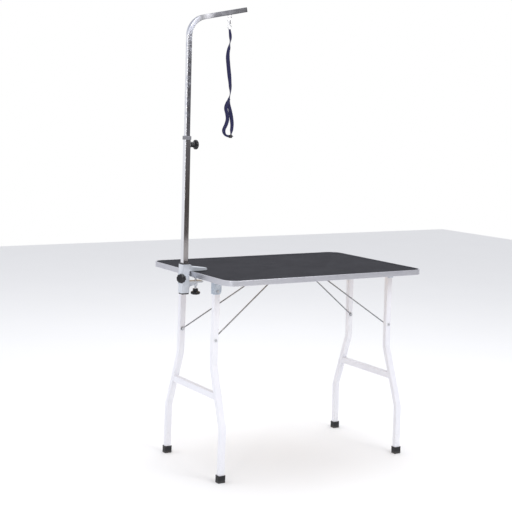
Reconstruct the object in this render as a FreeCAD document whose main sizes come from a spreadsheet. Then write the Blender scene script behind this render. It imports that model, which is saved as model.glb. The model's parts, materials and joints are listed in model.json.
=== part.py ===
"""Folding grooming table with a clamp-on overhead arm and a hanging noose.

Millimetres, +Z up, +X along the table top, +Y across it.  The table stands on
Z = 0 and the origin is the middle of the footprint of everything but the noose.
Positions below are written from the middle of the table top; the last step
moves every piece by the same amount, so that the footprint is centred.
"""
import FreeCAD, Part
import math
import os
import Sketcher

Vec = FreeCAD.Vector
Rot = FreeCAD.Rotation
X_AXIS, Y_AXIS, Z_AXIS = Vec(1, 0, 0), Vec(0, 1, 0), Vec(0, 0, 1)

doc = FreeCAD.newDocument("GroomingTable")
sheet = doc.addObject("Spreadsheet::Sheet", "Sizes")


# ---------------------------------------------------------------- driving sizes
class Size:
    """A number that carries the spreadsheet expression that gives it."""

    def __init__(self, value, text):
        self.value = float(value)
        self.text = text

    def __add__(self, other):
        other = size(other)
        return Size(self.value + other.value, f"({self.text} + {other.text})")

    def __sub__(self, other):
        other = size(other)
        return Size(self.value - other.value, f"({self.text} - {other.text})")

    def __mul__(self, other):
        other = size(other)
        return Size(self.value * other.value, f"({self.text} * {other.text})")

    def __truediv__(self, other):
        other = size(other)
        return Size(self.value / other.value, f"({self.text} / {other.text})")

    def __neg__(self):
        return Size(-self.value, f"(-{self.text})")

    __radd__ = __add__
    __rmul__ = __mul__

    def __rsub__(self, other):
        return size(other) - self


def size(value):
    return value if isinstance(value, Size) else Size(value, f"({value})")


def cell(name, value, note, row=[0]):
    """Writes one driving size as plain text in the sheet, with its alias."""
    row[0] += 1
    sheet.set(f"A{row[0]}", name)
    sheet.set(f"B{row[0]}", str(value))
    sheet.set(f"C{row[0]}", note)
    sheet.setAlias(f"B{row[0]}", name)
    return Size(value, f"Sizes.{name}")


# table top
top_length = cell("top_length", 916, "table top, along X")
top_width = cell("top_width", 616, "table top, along Y")
top_corner = cell("top_corner", 50, "outer corner radius of the edge trim")
top_height = cell("top_height", 780, "floor to the top of the edge trim")
trim_height = cell("trim_height", 20.5, "depth of the edge trim")
trim_wall = cell("trim_wall", 1.4, "sheet thickness of the edge trim")
trim_roll = cell("trim_roll", 1.2, "outside radius of the trim's folded edges")
trim_lip = cell("trim_lip", 5, "how far the trim folds over the top")
trim_under_lip = cell("trim_under_lip", 9, "how far the trim folds under the board")
mat_thickness = cell("mat_thickness", 3, "rubber mat")
mat_below_lip = cell("mat_below_lip", 0.9, "the mat's top below the trim's top")
fit_gap = cell("fit_gap", 0.2, "gap between pieces that are laid together")

# leg frames
left_pivot_inset = cell("left_pivot_inset", 52, "left end of the table to its leg pivot")
right_pivot_inset = cell("right_pivot_inset", 43, "right end of the table to its leg pivot")
left_pivot_drop = cell("left_pivot_drop", 45.5, "board underside to the left pivot")
right_pivot_drop = cell("right_pivot_drop", 24.5, "board underside to the right pivot")
leg_deep = cell("leg_deep", 25, "leg tube, along the table")
leg_thick = cell("leg_thick", 20, "leg tube, across the table")
leg_wall = cell("leg_wall", 1.5, "leg tube wall")
leg_round = cell("leg_round", 3, "outside corner radius of the leg tube")
leg_top_half = cell("leg_top_half", 132, "table middle to the upper leg, along Y")
leg_foot_half = cell("leg_foot_half", 216.5, "table middle to the lower leg, along Y")
leg_knee_height = cell("leg_knee_height", 446, "floor to the start of the upper bend")
leg_bend_angle = cell("leg_bend_angle", 20, "slope of the middle of the leg, degrees")
leg_bend_radius = cell("leg_bend_radius", 70, "centreline radius of the leg bends")
leg_splay = cell("leg_splay", 0.9, "outward lean of each leg frame, degrees")
crossbar_height = cell("crossbar_height", 319, "floor to the middle of the crossbar")
crossbar_deep = cell("crossbar_deep", 20, "crossbar tube, along the table")
crossbar_tall = cell("crossbar_tall", 24, "crossbar tube, vertical")
foot_wall = cell("foot_wall", 3, "rubber around the tube, along the table")
foot_cheek = cell("foot_cheek", 3.5, "rubber around the tube, across the table")
foot_height = cell("foot_height", 28, "foot cap height")
foot_sole = cell("foot_sole", 4, "rubber under the end of the tube")

# hinge brackets
plate = cell("plate", 2, "bracket sheet thickness")
bracket_deep = cell("bracket_deep", 31, "bracket cheek, along the table")
cheek_below = cell("cheek_below", 10, "pivot to the bottom of the cheek")
cheek_corner = cell("cheek_corner", 10, "rounding of the cheek's lower inward corner")
cheek_gap = cell("cheek_gap", 0.4, "leg side to cheek")
web_gap = cell("web_gap", 0.8, "leg back to the bracket's web")
flange_width = cell("flange_width", 62, "bracket flange, across the table")
bolt_radius = cell("bolt_radius", 3, "pivot and brace bolts")
bolt_clearance = cell("bolt_clearance", 0.05, "radial running clearance of the bolts")
screw_radius = cell("screw_radius", 1.8, "wood screws under the board")
screw_length = cell("screw_length", 11, "wood screws, below the head")

# braces
brace_hole_height = cell("brace_hole_height", 529, "floor to the brace bolts in the legs")
brace_wire = cell("brace_wire", 5, "diameter of the brace rods")
bar_half = cell("bar_half", 55, "table middle to the rods, at their bar")
bar_overhang = cell("bar_overhang", 3, "end of the bar beyond its rods")
rod_set_in = cell("rod_set_in", 1.4, "rods inward of their eyes, clear of the leg")
brace_bar_extra = cell("brace_bar_extra", 1, "bar thicker than the rods")
left_brace_run = cell("left_brace_run", 288.1, "left brace bolt to bar, along X")
right_brace_run = cell("right_brace_run", 259.9, "right brace bolt to bar, along X")
left_brace_seat = cell("left_brace_seat", 41, "left bar below the board's underside")
right_brace_seat = cell("right_brace_seat", 43, "right bar below the board's underside")
seat_gap = cell("seat_gap", 0.35, "bar to its seat")
catch_plate = cell("catch_plate", 2, "plate of the catches under the board")
catch_half = cell("catch_half", 50, "half the width of a catch")
catch_screw_inset = cell("catch_screw_inset", 8, "ends of the catch to its screws")
catch_foot = cell("catch_foot", 22, "foot of the catch, from the middle of the bar")
eye_radius = cell("eye_radius", 7, "flat eyes of the brace rods")
eye_thick = cell("eye_thick", 3, "flat eyes of the brace rods")
eye_gap = cell("eye_gap", 0.6, "eye to the leg, and to the bolt's head")

# clamp
clamp_y = cell("clamp_y", -10, "clamp's place along the table's end")
sleeve_wall = cell("sleeve_wall", 4, "sleeve wall, along the table")
sleeve_cheek = cell("sleeve_cheek", 2.5, "sleeve wall, across the table")
bush_wall = cell("bush_wall", 1.7, "wall of the sleeve's bushes")
slide_gap = cell("slide_gap", 0.3, "pole to what it slides in, on each side")
sleeve_stand_off = cell("sleeve_stand_off", 3.5, "table edge to the sleeve")
sleeve_top = cell("sleeve_top", 27, "sleeve above the table top")
sleeve_bottom = cell("sleeve_bottom", 83, "sleeve below the table top")
jaw_reach = cell("jaw_reach", 79, "upper jaw, from the sleeve")
jaw_gap = cell("jaw_gap", 0.3, "upper jaw above the trim")
lower_jaw_reach = cell("lower_jaw_reach", 60, "lower jaw, from the sleeve")
lower_jaw_drop = cell("lower_jaw_drop", 39, "table top to the lower jaw's top")
lower_jaw_thick = cell("lower_jaw_thick", 7, "lower jaw")
casting_round = cell("casting_round", 2, "rounding along the top of the upper jaw")
clamp_screw_inset = cell("clamp_screw_inset", 34, "sleeve to the clamp screw")
clamp_screw_radius = cell("clamp_screw_radius", 4, "clamp screw")

# pole and arm
lower_tube = cell("lower_tube", 22, "lower pole, square")
lower_tube_wall = cell("lower_tube_wall", 1.5, "lower pole wall")
pole_tail = cell("pole_tail", 80, "end of the lower pole below the table top")
lower_pole_length = cell("lower_pole_length", 585, "lower pole, from end to end")
tube_gap = cell("tube_gap", 0.5, "upper pole to the inside of the lower one")
upper_tube_wall = cell("upper_tube_wall", 1.5, "upper pole wall")
upper_overlap = cell("upper_overlap", 165, "upper pole inside the lower one")
arm_corner_rise = cell("arm_corner_rise", 437, "lower pole's top to where pole and arm lines meet")
arm_rise = cell("arm_rise", 12, "slope of the arm, degrees")
arm_bend_radius = cell("arm_bend_radius", 76, "centreline radius of the arm's bend")
arm_length = cell("arm_length", 247, "from that corner to the arm's end")
hook_along = cell("hook_along", 174, "from that corner to the hook, along the arm")
knob_radius = cell("knob_radius", 18.5, "lobed knobs")
knob_crown = cell("knob_crown", 15, "lobed knobs, from the hub to the dome's top")
knob_hub_radius = cell("knob_hub_radius", 10.5, "hub of the lobed knobs")
clamp_knob_hub = cell("clamp_knob_hub", 9, "hub length of the clamp knob")
sleeve_knob_hub = cell("sleeve_knob_hub", 4, "hub length of the sleeve knob")
pole_knob_hub = cell("pole_knob_hub", 15, "hub length of the pole knob")
set_screw_radius = cell("set_screw_radius", 3, "screws of the sleeve and pole knobs")
sleeve_knob_drop = cell("sleeve_knob_drop", 24, "table top to the sleeve knob")
pole_knob_drop = cell("pole_knob_drop", 25, "pole knob below the top of the lower pole")

# snap hook
hook_ring = cell("hook_ring", 7, "hook's bow, centreline radius")
hook_wire = cell("hook_wire", 2, "hook's bow, wire radius")
hook_drop = cell("hook_drop", 2.5, "arm's lower face to the middle of the bow")
hook_side = cell("hook_side", 13, "straight sides of the bow")
hook_gate = cell("hook_gate", 6.5, "bow's middle to its open tip")
hook_travel = cell("hook_travel", 6, "how far the trigger draws back")
hook_body_radius = cell("hook_body_radius", 4.6, "hook's barrel")
hook_body_length = cell("hook_body_length", 19, "hook's barrel")
hook_hole_gap = cell("hook_hole_gap", 2, "hole in the arm to the bow's wire")
hook_hole_shift = cell("hook_hole_shift", 0.8, "holes nearer than the bow's sides")
swivel_pin = cell("swivel_pin", 2, "swivel pin radius")
swivel_ring = cell("swivel_ring", 7.6, "swivel eye, centreline radius")
swivel_wire = cell("swivel_wire", 1.6, "swivel eye, wire radius")
strap_radius = cell("strap_radius", 3, "noose strap, as a round cord")

doc.recompute()

deg = math.radians


def tan(angle):
    return Size(math.tan(deg(angle.value)), f"tan({angle.text} * 1 deg)")


def sin(angle):
    return Size(math.sin(deg(angle.value)), f"sin({angle.text} * 1 deg)")


def cos(angle):
    return Size(math.cos(deg(angle.value)), f"cos({angle.text} * 1 deg)")


# values that follow from the sizes
top_surface = top_height
foot_deep = leg_deep + foot_wall * 2
foot_thick = leg_thick + foot_cheek * 2
sleeve_bore = lower_tube + slide_gap * 2 + bush_wall * 2
sleeve_x = sleeve_bore + sleeve_wall * 2
sleeve_y = sleeve_bore + sleeve_cheek * 2
upper_tube = lower_tube - lower_tube_wall * 2 - tube_gap * 2
lower_pole_bottom = top_surface - pole_tail
lower_pole_top = lower_pole_bottom + lower_pole_length
arm_corner_height = lower_pole_top + arm_corner_rise
hook_hole_offset = hook_ring - hook_hole_shift
hook_hole_radius = hook_wire + hook_hole_gap
underside = top_height - trim_height + trim_wall
end_x = top_length / 2
pole_x = -(end_x + sleeve_stand_off + sleeve_x / 2)
bar_radius = (brace_wire + brace_bar_extra) / 2


class Side:
    """What differs between the two ends of the table; sx points outward."""

    def __init__(self, name, sx, inset, drop, seat, run):
        self.name, self.sx, self.drop, self.seat = name, sx, drop, seat
        self.pivot_x = (end_x - inset) * sx
        self.pivot_z = underside - drop
        bolt_down = self.pivot_z - brace_hole_height
        self.bolt_x = self.pivot_x + bolt_down * sin(leg_splay) * sx
        self.bolt_z = self.pivot_z - bolt_down * cos(leg_splay)
        self.bar_x = self.bolt_x - run * sx
        self.bar_z = underside - seat


LEFT = Side("left", -1, left_pivot_inset, left_pivot_drop, left_brace_seat, left_brace_run)
RIGHT = Side("right", 1, right_pivot_inset, right_pivot_drop, right_brace_seat,
             right_brace_run)
ENDS = (("near", -1), ("far", 1))


# ---------------------------------------------------------------- building tools
pieces = []


def keep(feature, label, at=None):
    """Names a finished sub-part and puts it in its place."""
    feature.Label = label
    if at is not None:
        feature.Placement = at
    pieces.append(feature)
    return feature


def place(x=0.0, y=0.0, z=0.0, rotation=None):
    return FreeCAD.Placement(Vec(x, y, z), rotation or Rot())


def new_body(label, at=None):
    body = doc.addObject("PartDesign::Body", label)
    return keep(body, label, at)


def origin_plane(body, role):
    for feature in body.Origin.OriginFeatures:
        if feature.Role == role:
            return feature
    raise ValueError(role)


def new_sketch(body, role="XY_Plane", offset=None):
    sketch = body.newObject("Sketcher::SketchObject", f"{body.Name}_sketch")
    sketch.AttachmentSupport = (origin_plane(body, role), "")
    sketch.MapMode = "FlatFace"
    if offset is not None:
        sketch.AttachmentOffset = FreeCAD.Placement(Vec(0, 0, offset.value), Rot())
        sketch.setExpression("AttachmentOffset.Base.z", offset.text)
    return sketch


def fix(sketch, constraint, value=None):
    """Adds a constraint and, when it has a size, binds it to the sheet."""
    index = sketch.addConstraint(constraint)
    if value is not None:
        sketch.setExpression(f"Constraints[{index}]", value.text)
    return index


def offset_x(sketch, geometry, point, value):
    """Sets a point's distance from the sketch's vertical axis."""
    kind = "DistanceX"
    if value.value >= 0:
        fix(sketch, Sketcher.Constraint(kind, -1, 1, geometry, point, value.value), value)
    else:
        fix(sketch, Sketcher.Constraint(kind, geometry, point, -1, 1, -value.value), -value)


def offset_y(sketch, geometry, point, value):
    kind = "DistanceY"
    if value.value >= 0:
        fix(sketch, Sketcher.Constraint(kind, -1, 1, geometry, point, value.value), value)
    else:
        fix(sketch, Sketcher.Constraint(kind, geometry, point, -1, 1, -value.value), -value)


def polygon(sketch, points):
    """A closed outline whose corners are (x, y) pairs of sizes."""
    points = [(size(x), size(y)) for x, y in points]
    first = sketch.GeometryCount
    count = len(points)
    for i, (x, y) in enumerate(points):
        nx, ny = points[(i + 1) % count]
        sketch.addGeometry(Part.LineSegment(Vec(x.value, y.value, 0),
                                            Vec(nx.value, ny.value, 0)))
    for i in range(count):
        following = first + (i + 1) % count
        sketch.addConstraint(Sketcher.Constraint("Coincident", first + i, 2, following, 1))
    for i, (x, y) in enumerate(points):
        offset_x(sketch, first + i, 1, x)
        offset_y(sketch, first + i, 1, y)


def circle(sketch, x, y, radius):
    x, y, radius = size(x), size(y), size(radius)
    index = sketch.addGeometry(Part.Circle(Vec(x.value, y.value, 0), Z_AXIS, radius.value))
    fix(sketch, Sketcher.Constraint("Radius", index, radius.value), radius)
    offset_x(sketch, index, 3, x)
    offset_y(sketch, index, 3, y)


def rounded_rectangle(sketch, width, depth, radius, x=0, y=0):
    """Four sides and four tangent corner arcs about (x, y)."""
    width, depth, radius, x, y = (size(v) for v in (width, depth, radius, x, y))
    first = sketch.GeometryCount
    left, right = x - width / 2, x + width / 2
    low, high = y - depth / 2, y + depth / 2
    r = radius.value
    corners = [(left, low, 1, 1, 180), (right, low, -1, 1, 270),
               (right, high, -1, -1, 0), (left, high, 1, -1, 90)]
    for cx, cy, sx, sy, start in corners:
        centre = Vec(cx.value + sx * r, cy.value + sy * r, 0)
        arc = Part.ArcOfCircle(Part.Circle(centre, Z_AXIS, r), deg(start), deg(start + 90))
        sketch.addGeometry(arc)
    for i in range(4):
        end = sketch.Geometry[first + i].EndPoint
        start = sketch.Geometry[first + (i + 1) % 4].StartPoint
        sketch.addGeometry(Part.LineSegment(end, start))
    for i in range(4):
        tangent = [(first + i, 2, first + 4 + i, 1), (first + 4 + i, 2, first + (i + 1) % 4, 1)]
        for pair in tangent:
            sketch.addConstraint(Sketcher.Constraint("Tangent", *pair))
    for i in range(3):
        sketch.addConstraint(Sketcher.Constraint("Equal", first, first + i + 1))
    sketch.addConstraint(Sketcher.Constraint("Horizontal", first + 4))
    sketch.addConstraint(Sketcher.Constraint("Vertical", first + 5))
    fix(sketch, Sketcher.Constraint("Radius", first, r), radius)
    offset_y(sketch, first + 4, 1, low)
    offset_x(sketch, first + 5, 1, right)
    offset_y(sketch, first + 6, 1, high)
    offset_x(sketch, first + 7, 1, left)


def pad(body, sketch, length, both_ways=False, reverse=False):
    feature = body.newObject("PartDesign::Pad", f"{body.Name}_pad")
    feature.Profile = sketch
    feature.Length = length.value
    feature.setExpression("Length", length.text)
    feature.Midplane = both_ways
    feature.Reversed = reverse
    return feature


def pocket(body, sketch, length=None, both_ways=False, reverse=False):
    """Cuts a sketch to a depth, or right through when no depth is given."""
    feature = body.newObject("PartDesign::Pocket", f"{body.Name}_pocket")
    feature.Profile = sketch
    if length is None:
        feature.Type = "ThroughAll"
    else:
        feature.Length = length.value
        feature.setExpression("Length", length.text)
    feature.Midplane = both_ways
    feature.Reversed = reverse
    return feature


def level_edges(shape):
    """Names of the edges that lie flat, at one height all along."""
    return [f"Edge{i + 1}" for i, edge in enumerate(shape.Edges)
            if edge.BoundBox.ZLength < 1e-6]


def part_feature(label, shape, at=None):
    """For a piece that neither PartDesign nor a primitive gives directly."""
    feature = doc.addObject("Part::Feature", label)
    feature.Shape = shape
    return keep(feature, label, at)


def rod(start, end, radius):
    """A plain round bar between two points."""
    axis = end - start
    return Part.makeCylinder(radius, axis.Length, start, axis)


# ---------------------------------------------------------------- table top
def slab(label, length, width, corner, bottom, thickness):
    body = new_body(label)
    sketch = new_sketch(body, "XY_Plane", bottom)
    rounded_rectangle(sketch, length, width, corner)
    pad(body, sketch, thickness)
    return body


def table_top():
    inner = trim_wall + fit_gap
    mat_top = top_surface - mat_below_lip - trim_wall
    mat_bottom = mat_top - mat_thickness
    slab("mat", top_length - 2 * inner, top_width - 2 * inner, top_corner - inner,
         mat_bottom, mat_thickness)
    board = slab("board", top_length - 2 * inner, top_width - 2 * inner, top_corner - inner,
                 underside, mat_bottom - underside)
    holes = new_sketch(board, "XY_Plane", underside)
    for x, y in screw_places():
        circle(holes, x, y, screw_radius + 0.05)
    pocket(board, holes, screw_length + 0.5, reverse=True)

    trim = new_body("edge_trim")
    outline = new_sketch(trim, "XY_Plane", top_height - trim_height)
    rounded_rectangle(outline, top_length, top_width, top_corner)
    rim = pad(trim, outline, trim_height)
    doc.recompute()
    rolled = trim.newObject("PartDesign::Fillet", "edge_trim_rolled")
    rolled.Base = (rim, level_edges(rim.Shape))
    rolled.Radius = trim_roll.value
    rolled.setExpression("Radius", trim_roll.text)
    doc.recompute()
    over = new_sketch(trim, "XY_Plane", top_height - trim_height)
    rounded_rectangle(over, top_length - 2 * trim_lip, top_width - 2 * trim_lip,
                      top_corner - trim_lip)
    pocket(trim, over, trim_height + 1, reverse=True)
    under = new_sketch(trim, "XY_Plane", top_height - trim_height)
    rounded_rectangle(under, top_length - 2 * trim_under_lip, top_width - 2 * trim_under_lip,
                      top_corner - trim_under_lip)
    pocket(trim, under, trim_wall, reverse=True)
    channel = new_sketch(trim, "XY_Plane", underside - fit_gap)
    rounded_rectangle(channel, top_length - 2 * trim_wall, top_width - 2 * trim_wall,
                      top_corner - trim_wall)
    pocket(trim, channel, trim_height - 2 * trim_wall + fit_gap, reverse=True)


# ---------------------------------------------------------------- hinge brackets
def flange_screws():
    """The four screws of a bracket's flange, from its pivot."""
    half = flange_width / 2 - 7
    for along in (-9, 9):
        for across in (-1, 1):
            yield size(along), half * across


def catch_screws():
    for across in (-1, 1):
        yield (bar_radius + seat_gap + catch_plate + 8,
               (catch_half - catch_screw_inset) * across)


def screw_places():
    """Every wood screw in the board, from the middle of the table."""
    for side in (LEFT, RIGHT):
        for end, sy in ENDS:
            for along, across in flange_screws():
                yield side.pivot_x + along * side.sx, leg_top_half * sy + across
        for along, across in catch_screws():
            yield side.bar_x + along * side.sx, across


def facing(side):
    """Turns a piece drawn with +X outward to the end of the table it serves."""
    return Rot(Z_AXIS, 0 if side.sx > 0 else 180)


def hinge_bracket(side, end, sy):
    """A folded channel: two cheeks, a web behind the leg and a flange on top."""
    at = place(side.pivot_x.value, sy * leg_top_half.value, side.pivot_z.value, facing(side))
    body = new_body(f"{side.name}_hinge_{end}", at)
    drop = side.drop
    web = leg_deep / 2 + web_gap + plate
    front = web - bracket_deep
    inner = leg_thick + 2 * cheek_gap
    outline = new_sketch(body, "XZ_Plane")
    polygon(outline, [(web, drop), (front, drop), (front, -cheek_below), (web, -cheek_below)])
    block = pad(body, outline, inner + 2 * plate, both_ways=True)
    doc.recompute()
    corner = [f"Edge{i + 1}" for i, edge in enumerate(block.Shape.Edges)
              if abs(edge.CenterOfMass.x - front.value) < 0.01
              and abs(edge.CenterOfMass.z + cheek_below.value) < 0.01]
    rounded = body.newObject("PartDesign::Fillet", f"{body.Name}_corner")
    rounded.Base = (block, corner)
    rounded.Radius = cheek_corner.value
    rounded.setExpression("Radius", cheek_corner.text)
    doc.recompute()
    inside = new_sketch(body, "XZ_Plane")
    polygon(inside, [(web - plate, drop - plate), (front - 1, drop - plate),
                     (front - 1, -cheek_below - 1), (web - plate, -cheek_below - 1)])
    pocket(body, inside, inner, both_ways=True)
    flange = new_sketch(body, "XY_Plane", drop - plate)
    rounded_rectangle(flange, bracket_deep, flange_width, 4, x=web - bracket_deep / 2)
    pad(body, flange, plate)
    bore = new_sketch(body, "XZ_Plane")
    circle(bore, 0, 0, bolt_radius + 0.02)
    pocket(body, bore, flange_width, both_ways=True)
    holes = new_sketch(body, "XY_Plane", drop)
    for along, across in flange_screws():
        circle(holes, along, across, screw_radius + 0.2)
    pocket(body, holes, plate + 0.5)


def wood_screw(at):
    """Tapered pan head and plain shank, head down, from the lower face of the plate."""
    head = Part.makeCone(2.9, 4.1, 2.2, Vec(0, 0, -2.2))
    shank = Part.makeCylinder(screw_radius.value, plate.value + screw_length.value)
    screw = head.fuse(shank)
    screw.translate(at)
    return screw


def board_screws():
    low = (underside - plate).value
    screws = [wood_screw(Vec(x.value, y.value, low)) for x, y in screw_places()]
    part_feature("board_screws", Part.makeCompound(screws))


def hexagon(across_flats, thickness, base, direction):
    radius = across_flats / math.sqrt(3)
    ring = [Vec(radius * math.cos(deg(60 * i)), radius * math.sin(deg(60 * i)), 0)
            for i in range(7)]
    prism = Part.Face(Part.makePolygon(ring)).extrude(Vec(0, 0, thickness))
    prism.Placement = FreeCAD.Placement(base, Rot(Z_AXIS, direction))
    return prism


def pivot_bolts(side):
    """Hex-headed bolts through the cheeks, with a lock nut on each."""
    half = (leg_thick / 2 + cheek_gap + plate).value
    bolts, nuts = [], []
    for end, sy in ENDS:
        centre = Vec(side.pivot_x.value, sy * leg_top_half.value, side.pivot_z.value)
        outward = Y_AXIS * sy
        shank = rod(centre - outward * (half + 7.5), centre + outward * half,
                    bolt_radius.value)
        bolts.append(shank.fuse(hexagon(10, 4.2, centre + outward * half, outward)))
        nut = hexagon(10, 5.2, centre - outward * (half + 5.2), outward)
        bore = rod(centre - outward * (half + 9), centre, bolt_radius.value + 0.02)
        nuts.append(nut.cut(bore))
    part_feature(f"{side.name}_pivot_bolts", Part.makeCompound(bolts))
    part_feature(f"{side.name}_pivot_nuts", Part.makeCompound(nuts))


# ---------------------------------------------------------------- leg frames
def frame_placement(side, y=0.0):
    """Leg frames are drawn about their pivot, then lean outward by the splay."""
    lean = Rot(Y_AXIS, -side.sx * leg_splay.value)
    return place(side.pivot_x.value, y, side.pivot_z.value, lean)


def along_frame(side, height):
    """How far along the leaning leg a level above the floor lies, as a drop."""
    return (side.pivot_z - height) / cos(leg_splay)


def line(sketch, start, end):
    return sketch.addGeometry(Part.LineSegment(start, end))


def arc(sketch, centre, radius, first, last):
    circle_at = Part.Circle(centre, Z_AXIS, radius)
    return sketch.addGeometry(Part.ArcOfCircle(circle_at, first, last))


def bent_leg(side, end, sy):
    """A rectangular tube with two opposite bends, rounded over its pivot."""
    at = frame_placement(side, sy * leg_top_half.value)
    at = at.multiply(place(rotation=Rot(Z_AXIS, 0 if sy > 0 else 180)))
    body = new_body(f"{side.name}_leg_{end}", at)
    crown = leg_deep / 2

    section = new_sketch(body, "XY_Plane", crown)
    rounded_rectangle(section, leg_deep, leg_thick, leg_round)
    rounded_rectangle(section, leg_deep - 2 * leg_wall, leg_thick - 2 * leg_wall,
                      leg_round - leg_wall)

    spine = new_sketch(body, "YZ_Plane")
    knee = along_frame(side, leg_knee_height)
    foot = along_frame(side, foot_sole)
    spread = leg_foot_half - leg_top_half
    slope, radius = deg(leg_bend_angle.value), leg_bend_radius.value
    aside, fall = radius * (1 - math.cos(slope)), radius * math.sin(slope)
    slant = (spread.value - 2 * aside) / math.tan(slope)
    top, bend = Vec(0, crown.value, 0), Vec(0, -knee.value, 0)
    bend_end = bend + Vec(aside, -fall, 0)
    second = bend_end + Vec(spread.value - 2 * aside, -slant, 0)
    second_end = second + Vec(aside, -fall, 0)
    line(spine, top, bend)
    arc(spine, bend + Vec(radius, 0, 0), radius, math.pi, math.pi + slope)
    line(spine, bend_end, second)
    arc(spine, second_end - Vec(radius, 0, 0), radius, 0, slope)
    line(spine, second_end, Vec(spread.value, -foot.value, 0))
    for joined in ((0, 2, 1, 1), (1, 2, 2, 1), (2, 2, 3, 2), (3, 1, 4, 1)):
        spine.addConstraint(Sketcher.Constraint("Tangent", *joined))
    spine.addConstraint(Sketcher.Constraint("Vertical", 0))
    spine.addConstraint(Sketcher.Constraint("Vertical", 4))
    spine.addConstraint(Sketcher.Constraint("Equal", 1, 3))
    spine.addConstraint(Sketcher.Constraint("PointOnObject", 0, 1, -2))
    fix(spine, Sketcher.Constraint("Radius", 1, radius), leg_bend_radius)
    offset_y(spine, 0, 1, crown)
    offset_y(spine, 0, 2, -knee)
    offset_x(spine, 4, 2, spread)
    offset_y(spine, 4, 2, -foot)
    bend_angle = spine.addConstraint(Sketcher.Constraint("Angle", 0, 2, slope))
    spine.setExpression(f"Constraints[{bend_angle}]", f"{leg_bend_angle.text} * 1 deg")

    tube = body.newObject("PartDesign::AdditivePipe", f"{body.Name}_tube")
    tube.Profile = section
    tube.Spine = spine
    doc.recompute()

    for sign in (-1, 1):
        round_off(body, crown, sign)
    bores = new_sketch(body, "XZ_Plane")
    circle(bores, 0, 0, bolt_radius + bolt_clearance)
    circle(bores, 0, -(side.pivot_z - brace_hole_height), bolt_radius + 0.02)
    pocket(body, bores, leg_thick * 2, both_ways=True)


def round_off(body, radius, sign):
    """Rounds one shoulder of the leg's end about the pivot."""
    sketch = new_sketch(body, "XZ_Plane")
    r, reach = radius.value, radius + 1
    first, last = (0, math.pi / 2) if sign > 0 else (math.pi / 2, math.pi)
    arc(sketch, Vec(0, 0, 0), r, first, last)
    corners = [(sign * r, 0), (sign * reach.value, 0), (sign * reach.value, reach.value),
               (0, reach.value), (0, r)]
    for start, end in zip(corners, corners[1:]):
        line(sketch, Vec(*start, 0), Vec(*end, 0))
    low, high = (1, 2) if sign > 0 else (2, 1)
    for joined in ((0, low, 1, 1), (1, 2, 2, 1), (2, 2, 3, 1), (3, 2, 4, 1), (4, 2, 0, high),
                   (0, 3, -1, 1)):
        sketch.addConstraint(Sketcher.Constraint("Coincident", *joined))
    sketch.addConstraint(Sketcher.Constraint("PointOnObject", 0, low, -1))
    sketch.addConstraint(Sketcher.Constraint("PointOnObject", 0, high, -2))
    sketch.addConstraint(Sketcher.Constraint("Horizontal", 1))
    sketch.addConstraint(Sketcher.Constraint("Vertical", 2))
    sketch.addConstraint(Sketcher.Constraint("Horizontal", 3))
    fix(sketch, Sketcher.Constraint("Radius", 0, r), radius)
    offset_x(sketch, 2, 2, reach * sign)
    offset_y(sketch, 2, 2, reach)
    sketch.addConstraint(Sketcher.Constraint("PointOnObject", 4, 1, -2))
    pocket(body, sketch, leg_thick * 2, both_ways=True)


def crossbar(side):
    """A box tube whose ends are mitred to the slanted legs."""
    body = new_body(f"{side.name}_crossbar", frame_placement(side))
    level = -along_frame(side, crossbar_height)
    slope = tan(leg_bend_angle)
    knee = along_frame(side, leg_knee_height)
    aside = leg_bend_radius * (1 - cos(leg_bend_angle))
    fall = leg_bend_radius * sin(leg_bend_angle)
    middle = leg_top_half + aside + (-level - knee - fall) * slope
    half = middle - leg_thick / 2 / cos(leg_bend_angle) - 0.03

    def outline(height, extra):
        rise = size(height) / 2
        at_top, at_low = half - slope * rise + extra, half + slope * rise + extra
        return [(-at_low, level - rise), (at_low, level - rise),
                (at_top, level + rise), (-at_top, level + rise)]

    outer = new_sketch(body, "YZ_Plane")
    polygon(outer, outline(crossbar_tall, 0))
    pad(body, outer, crossbar_deep, both_ways=True)
    hollow = new_sketch(body, "YZ_Plane")
    polygon(hollow, outline(crossbar_tall - 2 * leg_wall, 2))
    pocket(body, hollow, crossbar_deep - 2 * leg_wall, both_ways=True)


def foot_cap(side, end, sy):
    """A ribbed rubber cap round the tube's end, cut level with the floor."""
    body = new_body(f"{side.name}_foot_{end}", frame_placement(side, sy * leg_foot_half.value))
    floor = -along_frame(side, size(0))
    tube_end = -along_frame(side, foot_sole)
    block = new_sketch(body, "XY_Plane", floor - 2)
    rounded_rectangle(block, foot_deep, foot_thick, leg_round + 1)
    pad(body, block, foot_height + 2)
    recess = new_sketch(body, "XY_Plane", tube_end)
    rounded_rectangle(recess, leg_deep, leg_thick, leg_round)
    pocket(body, recess, foot_height, reverse=True)
    for i in range(3):
        groove = new_sketch(body, "XY_Plane", floor + 8 + 6 * i)
        rounded_rectangle(groove, foot_deep + 8, foot_thick + 8, leg_round)
        rounded_rectangle(groove, foot_deep - 1.6, foot_thick - 1.6, leg_round)
        pocket(body, groove, size(1.6), reverse=True)
    level = new_sketch(body, "XZ_Plane")
    tilt = tan(leg_splay) * -side.sx * foot_deep
    polygon(level, [(-foot_deep, floor - tilt), (-foot_deep, floor - 30),
                    (foot_deep, floor - 30), (foot_deep, floor + tilt)])
    pocket(body, level, foot_thick * 2, both_ways=True)


# ---------------------------------------------------------------- braces
def eye_middle():
    """The middle of the brace's eye, across the table."""
    return leg_top_half - leg_thick / 2 - eye_gap - eye_thick / 2


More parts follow.
